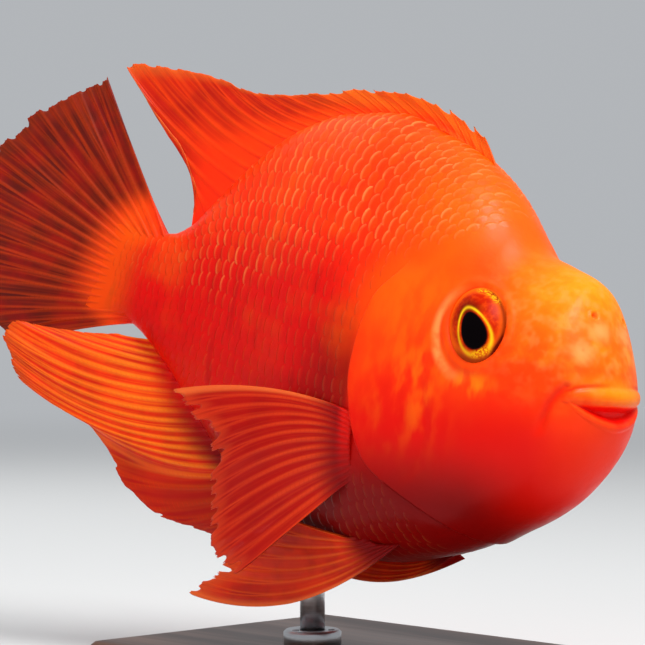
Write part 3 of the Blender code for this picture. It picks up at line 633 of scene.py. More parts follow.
def fish_colour(tree):
    """The markings that skin and scales share, with painted shade and painted highlights, from their place
    on the straight fish.
    """
    place = put_node(tree, "Attribute", attribute_name="place").outputs["Vector"]
    parts = put_node(tree, "SeparateXYZ", {0: place})
    s, z = parts.outputs[0], parts.outputs[2]
    wide = mottle(tree, place, 22.0)
    fine = mottle(tree, place, 5.0)
    dabs = mottle(tree, place, 3.4, (1.0, 1.0, 0.45), 2.0)
    streaks = mottle(tree, place, 3.2, (1.0, 1.0, 0.18))

    def lay(colour, over, share, *shares):
        for other in shares:
            share = sums(tree, "MULTIPLY", share, other)
        return tint(tree, share, colour, over)

    flank = sums(tree, "MULTIPLY", ramp(tree, s, 52, 78), ramp(tree, z, 44, 20))
    colour = tint(tree, flank, ORANGE_RED, DEEP_RED)
    colour = lay(colour, DEEP_RED, ramp(tree, z, 9, -8), ramp(tree, s, 0, 14), 0.9)
    colour = lay(colour, ORANGE, ramp(tree, z, 42, 66), 0.2)
    colour = lay(colour, ORANGE, patch(tree, place, (40, 0, 46), (32, 60, 26)), 0.75)
    colour = lay(colour, ORANGE, patch(tree, place, (49, 0, 22), (22, 60, 18)), 0.9)
    colour = lay(colour, YOLK, patch(tree, place, (9, 0, 31), (30, 60, 25)), 0.95)
    colour = lay(colour, ORANGE, patch(tree, place, (3, 0, 17), (16, 30, 14)), 0.9)
    colour = lay(colour, YOLK, patch(tree, place, (41, 0, 6), (9, 60, 8)), ramp(tree, dabs, 0.34, 0.7), 0.5)
    colour = lay(colour, YOLK, patch(tree, place, (0, 0, 7.6), (12, 22, 4.6)), 0.8)
    cheek = sums(tree, "MULTIPLY", patch(tree, place, (45, 0, 8), (22, 60, 34)), 1.2)
    colour = lay(colour, ORANGE, ramp(tree, dabs, 0.4, 0.72), cheek, 0.5)
    colour = lay(colour, DEEP_RED, ramp(tree, dabs, 0.56, 0.3), cheek, 0.45)
    face = patch(tree, place, (9, 0, 22), (34, 50, 27))
    freckles = mottle(tree, place, 2.4, detail=1.0)
    colour = lay(colour, YOLK, ramp(tree, fine, 0.45, 0.75), face, 0.6)
    # Painted highlights: pale pink flecks over the face.
    colour = lay(colour, BLUSH_AND_HIGHLIGHT, ramp(tree, freckles, 0.42, 0.72), face, 0.35)
    colour = lay(colour, ORANGE_RED, ramp(tree, freckles, 0.5, 0.3), face, 0.15)
    # Painted highlights in pale dabs on both sides of the snout.
    folded = put_node(tree, "VectorMath", {0: place}, operation="ABSOLUTE").outputs[0]
    for middle, radius in SNOUT_HIGHLIGHTS:
        colour = lay(colour, BLUSH_AND_HIGHLIGHT, patch(tree, folded, middle, (radius,) * 3),
                     ramp(tree, freckles, 0.25, 0.5, 0.6, 1.0), 0.75)
    colour = lay(colour, YOLK, patch(tree, place, (40, 0, -1), (5, 60, 13)),
                 ramp(tree, dabs, 0.34, 0.7), 0.25)
    away = away_from(tree, place, ORBIT_ARC_AT, ORBIT_ARC_SHARES)
    colour = lay(colour, BLUSH_AND_HIGHLIGHT, ramp(tree, away, 0.84, 0.98), ramp(tree, away, 1.2, 1.0),
                 ramp(tree, s, 28, 37), ramp(tree, z, 28, 18), ramp(tree, fine, 0.3, 0.6, 0.25, 0.85))
    colour = lay(colour, YOLK, patch(tree, place, (28, 0, 4.5), (9, 60, 4.5)),
                 ramp(tree, dabs, 0.35, 0.6), 0.8)
    # Painted shade: darker red behind the gill opening, low on the flank behind the pectoral fin's root.
    dark = sums(tree, "MULTIPLY", ramp(tree, s, 60, 62.5), ramp(tree, s, 88, 66))
    colour = lay(colour, BLOOD_RED, dark, ramp(tree, z, 24, 2), 0.8)
    # Darker red under the throat and belly: partly their own colour, partly painted shade where the light
    # from above doesn't reach.
    colour = lay(colour, BLOOD_RED, ramp(tree, z, -6, -24), ramp(tree, s, 4, 30))
    colour = lay(colour, ORANGE, ramp(tree, wide, 0.45, 0.75), ramp(tree, z, -12, 14), 0.3)
    colour = lay(colour, BLOOD_RED, ramp(tree, streaks, 0.5, 0.75), flank, 0.3)
    colour = lay(colour, ORANGE, ramp(tree, s, 146, 158), 0.4)
    return colour, place, fine


def skin_finish():
    finish, tree = new_finish("wet_skin")
    colour, place, fine = fish_colour(tree)
    mouth, crease_shade = kept_value(tree, "mouth"), kept_value(tree, "crease_shade")
    # Painted shade: the crease over the upper lip and the folds down from the mouth's corners are painted a
    # darker red.
    colour = tint(tree, sums(tree, "MULTIPLY", crease_shade, 0.7), colour, pigment(226, 18, 0))
    colour = tint(tree, mouth, colour, pigment(240, 8, 0))
    pores = mottle(tree, place, 0.8, detail=2.0)
    shader = put_node(tree, "BsdfPrincipled", {
        "Base Color": colour, "Roughness": ramp(tree, fine, 0.3, 0.7, 0.36, 0.5),
        "Specular IOR Level": 0.1,
        "Subsurface Weight": 0.1, "Subsurface Radius": (1.0, 0.2, 0.06), "Subsurface Scale": 0.003,
        "Coat Weight": 0.05, "Coat Roughness": 0.2, "Normal": bumps(tree, pores, 0.12, 0.0004)})
    show(tree, shader)
    return finish


def cast_skin():
    straight, inside, crease_shade = pressed_skin()
    rings = len(straight)
    middle_front = straight[0].mean(0)
    middle_end = straight[-1].mean(0)
    places = np.concatenate([straight.reshape(-1, 3), [middle_front, middle_end]])
    quads = grid_faces(rings, ROUND, closed=True)
    i, j = np.divmod(quads[:, 0], ROUND)
    corners = np.stack([np.stack([i + di, j + dj], -1) for di, dj in ((0, 0), (0, 1), (1, 1), (1, 0))], 1)
    spots = corners / (rings - 1, ROUND) * 0.94 + 0.03
    ends = np.zeros((2 * ROUND, 3, 2)) + 0.01
    spots = np.concatenate([spots.reshape(-1, 2), ends.reshape(-1, 2)])
    faces = quads.tolist() + pole_fans(rings, ROUND)
    piece = solid_piece("skin", bent(places), faces, skin_finish(),
                        ("head", "torso", "tail", "gill_cover_right", "gill_cover_left"),
                        places, spots)
    keep_values(piece, "mouth", np.concatenate([inside.ravel(), [inside[0].mean(), 0.0]]))
    keep_values(piece, "crease_shade", np.concatenate([crease_shade.ravel(), [0.0, 0.0]]))


cast_skin()


# The scales are thin plates of the same resin, cast on in rows that close up towards the tail.
# Each plate's root is sunk in the skin and its free edge lies over the next. The edges stand
# proudest on the upper flank, and there a painted highlight makes them pale, as the light they
# catch would. They are made in two pieces, a side each.
ROW_STEP, SCALE_STEP = 4.6, 3.5             # between rows, and along a row
SCALE_HALF_HIGH = 3.2
SCALE_AHEAD, SCALE_BEHIND = 3.4, 2.4        # from a scale's middle to its root and its free edge
SCALE_ROOT, SCALE_LIFT = -0.3, 0.2          # under and over the skin
SCALE_CROWN, SCALE_THICK = 0.3, 0.12        # how far its sides curl down, and its thickness
# Pale orange of the painted highlight on the scales' free edges.
SCALE_EDGE_SHEEN = pigment(255, 132, 66)
SCALE_LINES = (0, 0.3, 0.58, 0.8, 0.92, 1)  # points along one scale, root to edge
SCALE_COLUMNS = 8                           # and across it
ROWS_UP, ROWS_DOWN, LAST_SCALE = 20, 18, 158.0
SCALE_FRONT = [(-48, 36), (-30, 40), (-22.5, 47), (-16, 57), (-5, 60.5), (8, 61.6), (21, 59.5),
               (27, 56), (34, 47), (38, 40), (42, 34.5), (75, 34)]     # (height, s)
SCALE_SIZES = [(26, 0.62), (50, 0.7), (72, 0.92), (88, 1.0), (108, 0.92), (130, 0.74), (150, 0.58),
               (163, 0.5)]
SCALE_BACK = [(-5, 146), (4.5, 150), (10, 155.5), (17, 157.5), (24, 155.5), (29.5, 150), (40, 146)]
CLEAR_LINE = [(30, 39), (44, 37), (64, 35), (89, 31), (114, 22), (135, 18), (150, 17)]  # and above
CLEAR_HEAD, CLEAR_TAIL = (30, 44), (112, 142)   # they get clear and faint again between these
MAP_START, MAP_LENGTH, MAP_HEIGHT = 28.0, 140.0, 150.0
PATCH = 0.003                               # one scale's share of its map
LEAN_SPREAD, SIZE_SPREAD, LIFT_SPREAD = 0.04, 0.02, 0.06
TABLE_S = np.arange(26.0, 163.5, 1.0)
TABLE_SHARES = np.linspace(0, 1, 41)

scale_front_s = smooth_line(SCALE_FRONT)
scale_back_s = smooth_line(SCALE_BACK)
scale_size = smooth_line(SCALE_SIZES)
clear_z = smooth_line(CLEAR_LINE)


def reach_round(way):
    """From the widest line to the ridge (way 1) or the keel (-1): distances and angles."""
    fine = np.linspace(0, way * np.pi / 2, 181)
    reaches, angles = [], []
    for s in TABLE_S:
        steps = np.linalg.norm(np.diff(body_surface(s, fine), axis=0), axis=1)
        run = np.concatenate([[0], np.cumsum(steps)])
        reaches.append(run[-1])
        angles.append(np.interp(TABLE_SHARES * run[-1], run, fine))
    return np.array(reaches), np.array(angles)


REACH_UP, ANGLES_UP = reach_round(1)
REACH_DOWN, ANGLES_DOWN = reach_round(-1)


def flank_turn(s, up):
    """The angle round the body's left side at up millimetres along the skin from its widest line."""
    row = np.clip(s - TABLE_S[0], 0, len(TABLE_S) - 1.001)
    near, part = row.astype(int), row % 1
    found = np.zeros_like(s)
    for way, reaches, angles in ((1, REACH_UP, ANGLES_UP), (-1, REACH_DOWN, ANGLES_DOWN)):
        reach = reaches[near] * (1 - part) + reaches[near + 1] * part
        share = np.clip(way * up / reach, 0, 2)
        past = share > 1
        column = np.clip(np.where(past, 2 - share, share) * 40, 0, 39.999)
        left, right = column.astype(int), column % 1
        turn = sum(angles[near + a, left + b] * abs(1 - a - part) * abs(1 - b - right)
                   for a in (0, 1) for b in (0, 1))
        turn = np.where(past, way * np.pi - turn, turn)
        found = np.where(way * up > 0, turn, found)
    return found


def scale_centres():
    """Where the scales sit: s, distance up the flank, and size."""
    centres = []
    for row in range(-ROWS_DOWN, ROWS_UP + 1):
        s = TABLE_S[0] + (0.5 * SCALE_STEP if row % 2 else 0.0)
        while s < LAST_SCALE:
            size = float(scale_size(s))
            up = row * ROW_STEP * size
            reach = np.interp(s, TABLE_S, REACH_UP if up > 0 else REACH_DOWN)
            z = body_surface(s, flank_turn(np.array(s), np.array(up)))[2]
            if abs(up) < reach - 0.5 and scale_front_s(z) < s < scale_back_s(z):
                centres.append((s, up, size))
            s += SCALE_STEP * size
    return np.array(centres)


def one_scale():
    """A scale's points: back along it, up it, height, how far its sides curl down, and the share
    of the way from its root to its free edge.
    """
    u, v = np.meshgrid(SCALE_LINES, np.linspace(-1, 1, SCALE_COLUMNS), indexing="ij")
    edge = SCALE_BEHIND * np.sqrt(np.clip(1 - np.abs(v) ** 2.2, 0, 1))
    back = -SCALE_AHEAD + (SCALE_AHEAD + edge) * u
    up = SCALE_HALF_HIGH * v * (0.75 + 0.25 * np.sqrt(u))
    height = SCALE_ROOT + (SCALE_LIFT - SCALE_ROOT) * u ** 0.75
    return back.ravel(), up.ravel(), height.ravel(), (SCALE_CROWN * np.abs(v) ** 3).ravel(), u.ravel()


def shell_faces(rows, columns):
    """Faces of a closed plate: a grid of points, and the same points again behind it."""
    front = grid_faces(rows, columns)
    behind = rows * columns
    rim = [j for j in range(columns)] + [i * columns + columns - 1 for i in range(1, rows)]
    rim += [(rows - 1) * columns + j for j in range(columns - 2, -1, -1)]
    rim += [i * columns for i in range(rows - 2, 0, -1)]
    here, there = np.array(rim), np.roll(rim, -1)
    sides = np.stack([there, here, here + behind, there + behind], -1)
    return np.concatenate([front[:, ::-1], front + behind, sides[:, ::-1]])


def scale_finish():
    finish, tree = new_finish("scales")
    colour, place, fine = fish_colour(tree)
    tone, edge = kept_value(tree, "tone"), kept_value(tree, "edge")
    colour = tint(tree, ramp(tree, tone, 0.5, 1.0, 0.0, 0.13), colour, ORANGE)
    colour = tint(tree, ramp(tree, tone, 0.5, 0.0, 0.0, 0.13), colour, DEEP_RED)
    # Painted highlight: each scale's free edge is painted pale, as the light it catches would make it.
    shine = sums(tree, "MULTIPLY", edge, ramp(tree, fine, 0.36, 0.6, 0.3, 1.0))
    colour = tint(tree, shine, colour, SCALE_EDGE_SHEEN)
    rings = mottle(tree, place, 0.5, detail=1.0)
    shader = put_node(tree, "BsdfPrincipled", {
        "Base Color": colour, "Roughness": ramp(tree, fine, 0.3, 0.7, 0.34, 0.48),
        "Specular IOR Level": 0.1,
        "Subsurface Weight": 0.1, "Subsurface Radius": (1.0, 0.2, 0.06), "Subsurface Scale": 0.002,
        "Coat Weight": 0.08, "Coat Roughness": 0.18, "Normal": bumps(tree, rings, 0.1, 0.0003)})
    show(tree, shader)
    return finish


def lie_of_scales(s, up):
    """The scales turn with the outline, most near the back and the belly."""
    slope_up = (back_z(s + 2) - back_z(s - 2)) / 4
    slope_down = (belly_z(s + 2) - belly_z(s - 2)) / 4
    share = np.where(up > 0, up / np.interp(s, TABLE_S, REACH_UP),
                     -up / np.interp(s, TABLE_S, REACH_DOWN))
    return np.arctan(np.where(up > 0, slope_up, slope_down) * share * 0.75)


def clearness(s, z):
    """How clearly the scales show: best on the upper flank, faint by the head and the tail."""
    clear = 0.12 + 0.88 * smooth_step(z - clear_z(s), -8, 5)
    return clear * smooth_step(s, *CLEAR_HEAD) * (1 - 0.7 * smooth_step(s, *CLEAR_TAIL))


def scale_coat(side, word, finish):
    """All the scales of one side as one mesh."""
    draw = np.random.default_rng(11 if side < 0 else 12)
    s, up, size = scale_centres().T[:, :, None]
    count = len(s)
    back, rise, height, crown, u = one_scale()
    lean = lie_of_scales(s, up) + draw.normal(0, LEAN_SPREAD, (count, 1))
    grow = size * (1 + draw.normal(0, SIZE_SPREAD, (count, 1)))
    spot_s = s + grow * (back * np.cos(lean) - rise * np.sin(lean))
    spot_up = up + grow * (back * np.sin(lean) + rise * np.cos(lean))
    turn = flank_turn(spot_s, spot_up)
    turn = turn if side > 0 else np.pi - turn
    plain, out = body_surface(spot_s, turn), body_normal(spot_s, turn)
    z = plain[..., 2]
    clear = clearness(spot_s, z)
    lift = height * np.where(height > 0, 0.4 + 0.6 * clear, 1.0) - crown
    lift = lift * size * (1 + draw.normal(0, LIFT_SPREAD, (count, 1)))
    dip = np.where(spot_s > gill_s(z), gill_height(spot_s, z), 0) - SKIN_UNDER
    top = plain + out * (lift + dip)[..., None]
    low = plain + out * (lift + dip - SCALE_THICK * size)[..., None]
    straight = np.concatenate([top, low], 1)

    one = shell_faces(len(SCALE_LINES), SCALE_COLUMNS)
    first = np.arange(count) * straight.shape[1]
    faces = (one + first[:, None, None]).reshape(-1, 4)
    if side < 0:
        faces = faces[:, ::-1]
    mid_u = 0.03 + 0.94 * (s - MAP_START) / MAP_LENGTH
    mid_v = 0.5 + up / MAP_HEIGHT
    spread_u = mid_u + PATCH * back / (SCALE_AHEAD + SCALE_BEHIND)
    spread_v = mid_v + PATCH * rise / (2 * SCALE_HALF_HIGH)
    spots = np.stack([spread_u, spread_v + 0 * spread_u], -1)
    spots = np.concatenate([spots, spots], 1).reshape(-1, 2)[faces.ravel()]
    piece = solid_piece("scales_" + word, bent(straight), faces.tolist(), finish,
                        (), straight, spots)
    # How pale each free edge is painted: a painted highlight that varies from scale to scale and is
    # strongest where the scales show clearly.
    bright = draw.uniform(0.25, 1.0, (count, 1))
    edge = smooth_step(u, 0.78, 0.94) * clear * bright * 0.8
    tone = 0.5 + (draw.uniform(0, 1, (count, 1)) - 0.5) * clear
    keep_values(piece, "edge", np.concatenate([edge, edge], 1))
    keep_values(piece, "tone", np.concatenate([tone, tone], 1))


scales = scale_finish()
scale_coat(-1, "right", scales)
scale_coat(1, "left", scales)


# Each fin is a thin web of tinted resin over bony rays, cast in one with a thick root that
# sinks into the body. Soft rays split in two and in two again towards the edge, spines stay
# single, and the web is worn back a little between them.
RAY_HALF = 0.3                              # half width of a ray at its root
FIN_RED = pigment(158, 4, 0)


def fin_columns(rays, rows, spacing, split, split_from, branched_from):
    """Columns of points that follow every ray and branch: place, ridge, glow and wear by row."""
    t = np.linspace(0, 1, rows)
    wide = np.minimum(RAY_HALF * (1 - 0.4 * t) / spacing, 0.2)
    first = split * smooth_step(t, split_from, 1.1)
    second = 0.42 * split * smooth_step(t, 0.5 * (1 + split_from), 1.15)
    zero, one = 0 * t, 0 * t + 1
    places, ridges, glows, wears = [], [], [], []
    for ray in range(rays):
        soft = 1.0 if ray >= branched_from else 0.02
        low = np.maximum(soft * (first - second) - 0.25 * wide, 0.25 * wide)
        mid = np.maximum(soft * first, low + 0.25 * wide)
        high = np.maximum(soft * (first + second), mid) + 0.25 * wide
        joined = 1 - smooth_step(low / wide, 0.5, 1.8)
        paired = 1 - smooth_step((high - low) / wide, 1.0, 3.0)
        # From the ray's middle out to its foot: offset, ridge, glow and wear.
        half = [(zero, joined, joined, 0.25), (np.maximum(low - wide, 0.12 * wide), joined, joined, 0.2),
                (low, one, one, 0.0), (mid, paired, paired, 0.15), (high, one, one, 0.0),
                (high + wide, zero, 0.75 * one, 0.3)]
        for k in range(0 if ray == 0 else -5, 1 if ray == rays - 1 else 6):
            offset, ridge, glow, wear = half[abs(k)]
            places.append(ray + (offset if k > 0 else -offset))
            ridges.append(ridge)
            glows.append(glow)
            wears.append((ray, wear))
        if ray < rays - 1:
            next_high = high if ray + 1 >= branched_from else 0.75 * wide
            for share in (0.2, 0.5, 0.8):
                places.append(ray + (high + wide) * (1 - share) + (1 - next_high - wide) * share)
                ridges.append(zero)
                glows.append(np.exp(-((0.5 - abs(share - 0.5)) * spacing / 0.55) ** 2) * 0.6)
                wears.append((ray + share, 0.65 + 0.35 * math.sin(math.pi * share)))
    return np.array(places) / (rays - 1), np.array(ridges), np.array(glows), np.array(wears)


def worn_back(draw, rays, wear, notch, fray, branched_from, spines):
    """How far each column of points falls short of the fin's full outline."""
    lengths = draw.normal(0, fray, rays + 1)
    bites = notch * draw.uniform(0.4, 1.5, rays + 1)
    bites[draw.integers(1, rays, max(rays // 5, 1))] += 1.5 * notch
    bites[:branched_from] += spines
    which = np.clip(wear[:, 0].astype(int), 0, rays)
    cut = wear[:, 1] * bites[which] - np.interp(wear[:, 0], np.arange(rays + 1), lengths)
    cut[[0, -1]] = 0
    return cut


def fin_web(name, finish, roots, tips, bows, rays, rows=60, root_thick=2.4, ray_thick=0.7,
            web_thick=0.3, notch=0.9, fray=0.4, wave=0.5, fold=0.5, split=0.24, split_from=0.4,
            branched_from=0, spines=0.0, sunk=3.0, seed=1):
    """One fin as a closed mesh. roots, tips and bows are (share, s, y, z) along its base.

    bows arch the rays, wave and fold sway the web, notch and fray wear its edge back, and
    split is how far the branches of a soft ray part, in shares of the step between rays.
    """
    draw = np.random.default_rng(seed)

    def curve(table):
        lines = [smooth_line([(row[0], row[k]) for row in table]) for k in (1, 2, 3)]
        return lambda share: np.stack([line(share) for line in lines], -1)

    root_at, tip_at, bow_at = curve(roots), curve(tips), curve(bows)
    t = np.linspace(0, 1, rows)
    ends = [np.linalg.norm(at([0.6]) - at([0.4])) for at in (root_at, tip_at)]
    spacing = (ends[0] + (ends[1] - ends[0]) * t) / (0.2 * (rays - 1))
    share, ridge, glow, wear = fin_columns(rays, rows, spacing, split, split_from, branched_from)
    columns = len(share)
    root, tip, bow = root_at(share), tip_at(share), bow_at(share)
    reach = tip - root
    long = np.linalg.norm(reach, axis=-1, keepdims=True)
    cut = worn_back(draw, rays, wear, notch, fray, branched_from, spines)
    along = (t * (1 - np.clip(cut[:, None] / long[..., 0], -0.05, 0.35)))[..., None]
    root = root - reach / long * sunk
    spots = root + reach * (1 + sunk / long) * along + bow * 4 * along * (1 - along)
    out = np.cross(np.gradient(spots, axis=1), np.gradient(spots, axis=0))
    out /= np.linalg.norm(out, axis=2, keepdims=True) + 1e-9
    phase = draw.uniform(0, 6.28, 3)
    sway = np.sin(9 * share + 3 * t + phase[0]) + 0.6 * np.sin(21 * share - 4 * t + phase[1])
    sway = sway + fold * np.sin(np.pi * share * (rays - 1) + phase[2])
    spots = spots + out * wave * along ** 1.5 * sway[..., None]
    half = 0.5 * (web_thick + (ray_thick * (1 - 0.45 * t) - web_thick) * ridge)
    half = half + 0.5 * (root_thick - web_thick) * np.clip(1 - 3.2 * t, 0, 1) ** 2 * (0.8 + 0.2 * ridge)
    half[:, -1] *= 0.5
    straight = np.stack([spots + out * half[..., None], spots - out * half[..., None]])
    faces = shell_faces(columns, rows)
    i, j = np.meshgrid(np.arange(columns), np.arange(rows), indexing="ij")
    spread = np.stack([0.02 + 0.46 * i / (columns - 1), 0.02 + 0.96 * j / (rows - 1)], -1).reshape(-1, 2)
    spread = np.concatenate([spread, spread + (0.5, 0)])
    piece = solid_piece(name + "_web", bent(straight), faces.tolist(), finish,
                        (name,), straight, spread[faces.ravel()])
    weave = np.stack([share * (rays - 1), long[..., 0] * t, share], -1)
    kept = piece.data.attributes.new("weave", "FLOAT_VECTOR", "POINT")
    kept.data.foreach_set("vector", np.stack([weave, weave]).astype(np.float32).ravel())
    for word, values in (("ridge", ridge), ("glow", glow), ("reach", t + 0 * ridge)):
        keep_values(piece, word, np.stack([values, values]))


def fin_finish(name, web, rays, margin, clear, root_from=0.06, root_to=0.22, ray_share=0.8,
               ray_sharp=1.0, streaked=0.4, red_shaded_front=0.0, warm_front=0.0, pale_front=0.0):
    """Tinted web streaked along its rays, paler rays, and the body's colour at the root.

    red_shaded_front, warm_front and pale_front are how far back from the first ray, as shares of the
    fin, it is redder, warmer or paler. The redder front is a darker red, partly the fin's own
    colour and partly painted shade.
    """
    finish, tree = new_finish(name)
    body, place, fine = fish_colour(tree)
    weave = put_node(tree, "Attribute", attribute_name="weave").outputs["Vector"]
    ridge, glow, reach = (kept_value(tree, word) for word in ("ridge", "glow", "reach"))
    parts = put_node(tree, "SeparateXYZ", {0: weave})
    front = ramp(tree, parts.outputs[2], red_shaded_front + 0.06, red_shaded_front - 0.06) if red_shaded_front else 0.0
    rest = sums(tree, "SUBTRACT", 1.0, sums(tree, "MULTIPLY", front, 0.85))
    colour = tint(tree, ramp(tree, mottle(tree, place, 9.0), 0.35, 0.7, 0.0, 0.6), web, FIN_RED)
    colour = tint(tree, sums(tree, "MULTIPLY", front, 0.8), colour, FIN_RED)
    if warm_front:
        colour = tint(tree, ramp(tree, parts.outputs[2], warm_front + 0.15, warm_front - 0.15, 0.0, 0.8),
                      colour, pigment(255, 110, 12))
    streaks = mottle(tree, weave, 0.22, (1.0, 0.008, 0.0), 1.0)
    colour = tint(tree, sums(tree, "MULTIPLY", ramp(tree, streaks, 0.45, 0.75, 0.0, streaked), rest),
                  colour, rays)
    shine = sums(tree, "MULTIPLY", sums(tree, "POWER", glow, ray_sharp),
                 ramp(tree, reach, 0.25, 1.0, ray_share, 0.5 * ray_share))
    colour = tint(tree, sums(tree, "MULTIPLY", shine, rest), colour, rays)
    joints = sums(tree, "FRACT", sums(tree, "MULTIPLY", parts.outputs[1], 0.8), 0.0)
    joint = sums(tree, "MULTIPLY", ramp(tree, joints, 0.75, 0.95), ridge)
    colour = tint(tree, sums(tree, "MULTIPLY", joint, 0.25), colour, web)
    colour = tint(tree, sums(tree, "MULTIPLY", ramp(tree, reach, 0.88, 1.0, 0.0, 0.5), rest),
                  colour, margin)
    if pale_front:
        colour = tint(tree, ramp(tree, parts.outputs[2], pale_front, 0.3 * pale_front, 0.0, 0.75),
                      colour, pigment(255, 112, 48))
    colour = tint(tree, ramp(tree, reach, root_from, root_to, 1.0, 0.0), colour, body)
    thin = sums(tree, "MULTIPLY", ramp(tree, glow, 0.0, 0.8, 1.0, 0.2), ramp(tree, reach, 0.2, 0.8))
    seen = sums(tree, "SUBTRACT", 1.0, sums(tree, "MULTIPLY", thin, clear))
    shader = put_node(tree, "BsdfPrincipled", {
        "Base Color": colour, "Roughness": 0.45, "Specular IOR Level": 0.12, "Alpha": seen,
        "Subsurface Weight": 0.3, "Subsurface Radius": (1.0, 0.25, 0.08), "Subsurface Scale": 0.0015,
        "Coat Weight": 0.08, "Coat Roughness": 0.25, "Normal": bumps(tree, streaks, 0.25, 0.0003)})
    show(tree, shader)
    return finish


def on_back(s):
    return (s, 0.0, float(back_z(s)))


def on_belly(s):
    return (s, 0.0, float(belly_z(s)))


dorsal_roots = [(share, *on_back(s)) for share, s in
                ((0, 48), (0.25, 71), (0.5, 94), (0.7, 112), (0.88, 128), (1, 139.5))]
dorsal_tips = [(0, 53, 0, 63.4), (0.1, 64, 0, 69), (0.25, 83, 0, 73.8), (0.4, 98, 0.5, 73.8),
               (0.52, 112, 0.5, 71.3), (0.64, 130, 0, 69.2), (0.74, 148, -0.5, 70.8),
               (0.82, 162, -1, 70.2), (0.88, 170.5, -1.5, 67.6), (0.92, 162, -1, 60),
               (0.96, 149.5, -0.5, 51.5), (1, 141.2, 0, 42)]
dorsal_bows = [(0, 0, 0, 0), (0.5, 0, 0, 0.5), (0.85, 1.5, 1, -2.5), (1, 0, 0, 0)]
dorsal_finish = fin_finish("dorsal_web", pigment(204, 32, 0), pigment(250, 80, 4),
                           pigment(232, 110, 36), 0.06, root_from=0.18, root_to=0.6, ray_share=0.5,
                           warm_front=0.5)
fin_web("dorsal_fin", dorsal_finish, dorsal_roots, dorsal_tips, dorsal_bows, 28, notch=0.6,
        fray=0.25, wave=0.35, split=0.2, split_from=0.5, branched_from=14, spines=0.3, seed=21)

caudal_roots = [(0, 146.5, 0, 29.3), (0.1, 150.5, 0, 27.5), (0.25, 152, 0, 24), (0.5, 152.5, 0, 17),
                (0.75, 152, 0, 10), (0.9, 150.5, 0, 6.5), (1, 147.5, 0, 4.5)]
caudal_tips = [(0, 176, 0, 64), (0.1, 183, 0, 58.5), (0.3, 196.5, 0, 42.5), (0.5, 203.5, 0, 26),
               (0.7, 203, 0, 10), (0.88, 191, 0, -3.5), (1, 178, 0, -9.5)]
caudal_bows = [(0, 0, 0, -1), (0.5, 0, 0, 0), (1, 1, 0, 1)]
caudal_finish = fin_finish("caudal_web", pigment(86, 12, 0), pigment(182, 54, 4),
                           pigment(126, 40, 8), 0.08, root_from=0.19, root_to=0.4, ray_share=0.7)
fin_web("caudal_fin", caudal_finish, caudal_roots, caudal_tips, caudal_bows, 19, rows=70,
        root_thick=4.0, ray_thick=0.9, wave=0.55, split_from=0.3, seed=22)

anal_roots = [(share, *on_belly(s)) for share, s in
              ((0, 98), (0.25, 110), (0.5, 121), (0.75, 132), (1, 143))]
anal_tips = [(0, 109, 0, -41.5), (0.06, 117, 0, -41), (0.12, 128, 0, -40.5), (0.18, 138, 0, -36),
             (0.24, 145, 0, -29.5), (0.28, 153, -2, -23), (0.33, 163, -5, -18.8),
             (0.4, 171, -7, -17), (0.55, 175.5, -9, -12), (0.7, 178.5, -10, -7),
             (0.78, 177, -9.5, -3.5), (0.9, 163, -5, -1.5), (1, 151, -1.5, 0.4)]
anal_bows = [(0, 0, 0, -1), (0.2, 0, 0, -2), (0.33, 0, 0, -5), (0.5, 0, 0, -5.5),
             (0.7, 0, -0.3, -4), (0.85, 0, -1, -1), (1, 0, 0, 0)]
# The anal fin's spiny front hangs down out of the light: its darker red is partly its own colour and partly
# painted shade.
anal_finish = fin_finish("anal_web", pigment(234, 28, 0), pigment(255, 128, 18),
                         pigment(206, 76, 16), 0.06, red_shaded_front=0.25)
fin_web("anal_fin", anal_finish, anal_roots, anal_tips, anal_bows, 21, notch=0.5, fray=0.3,
        wave=0.45, fold=0.35, split_from=0.45, seed=23)

pair_finish = fin_finish("pair_web", pigment(176, 10, 0), pigment(246, 80, 24),
                         pigment(220, 66, 22), 0.1, root_from=0.08, root_to=0.28, ray_share=0.42,
                         ray_sharp=3.0, streaked=0.15, pale_front=0.06)
# The pelvic fins' web and rays are painted brighter than the pectorals': partly their own orange, partly
# painted light for the glow of light shining through them from behind.
pelvic_backlit_finish = fin_finish("pelvic_web_backlit", pigment(236, 44, 0), pigment(255, 112, 34),
                           pigment(236, 96, 34), 0.06, root_from=0.08, root_to=0.28, ray_share=0.5,
                           ray_sharp=3.0, streaked=0.15, pale_front=0.08)
for side, word in ((-1, "right"), (1, "left")):
    roots = [(share, s, side * (float(skin_y(s, z)) - 0.6), z) for share, s, z in
             ((0, 60.5, -5.5), (0.5, 61, -13.5), (1, 61, -22))]
    tips = [(0, 113, side * 29, -7.5), (0.12, 107, side * 29, -11.5), (0.3, 97, side * 29, -18.5),
            (0.5, 95.5, side * 28.5, -27), (0.7, 94, side * 28, -36), (0.85, 91.5, side * 27, -44),
            (1, 84.5, side * 26, -43.8 + side * 2.2)]
    bows = [(0, 0, side * 2.5, 3.6), (0.3, 0, side * 2.5, 3.8), (0.6, 0, side * 2.5, 3.0),
            (1, 0, side * 2, -1.2)]
    fin_web("pectoral_fin_" + word, pair_finish, roots, tips, bows, 14, root_thick=2.6, ray_thick=0.48,
            notch=1.6, fray=0.9, fold=0.1, split=0.17, split_from=0.5, sunk=2.5, seed=24 + side)

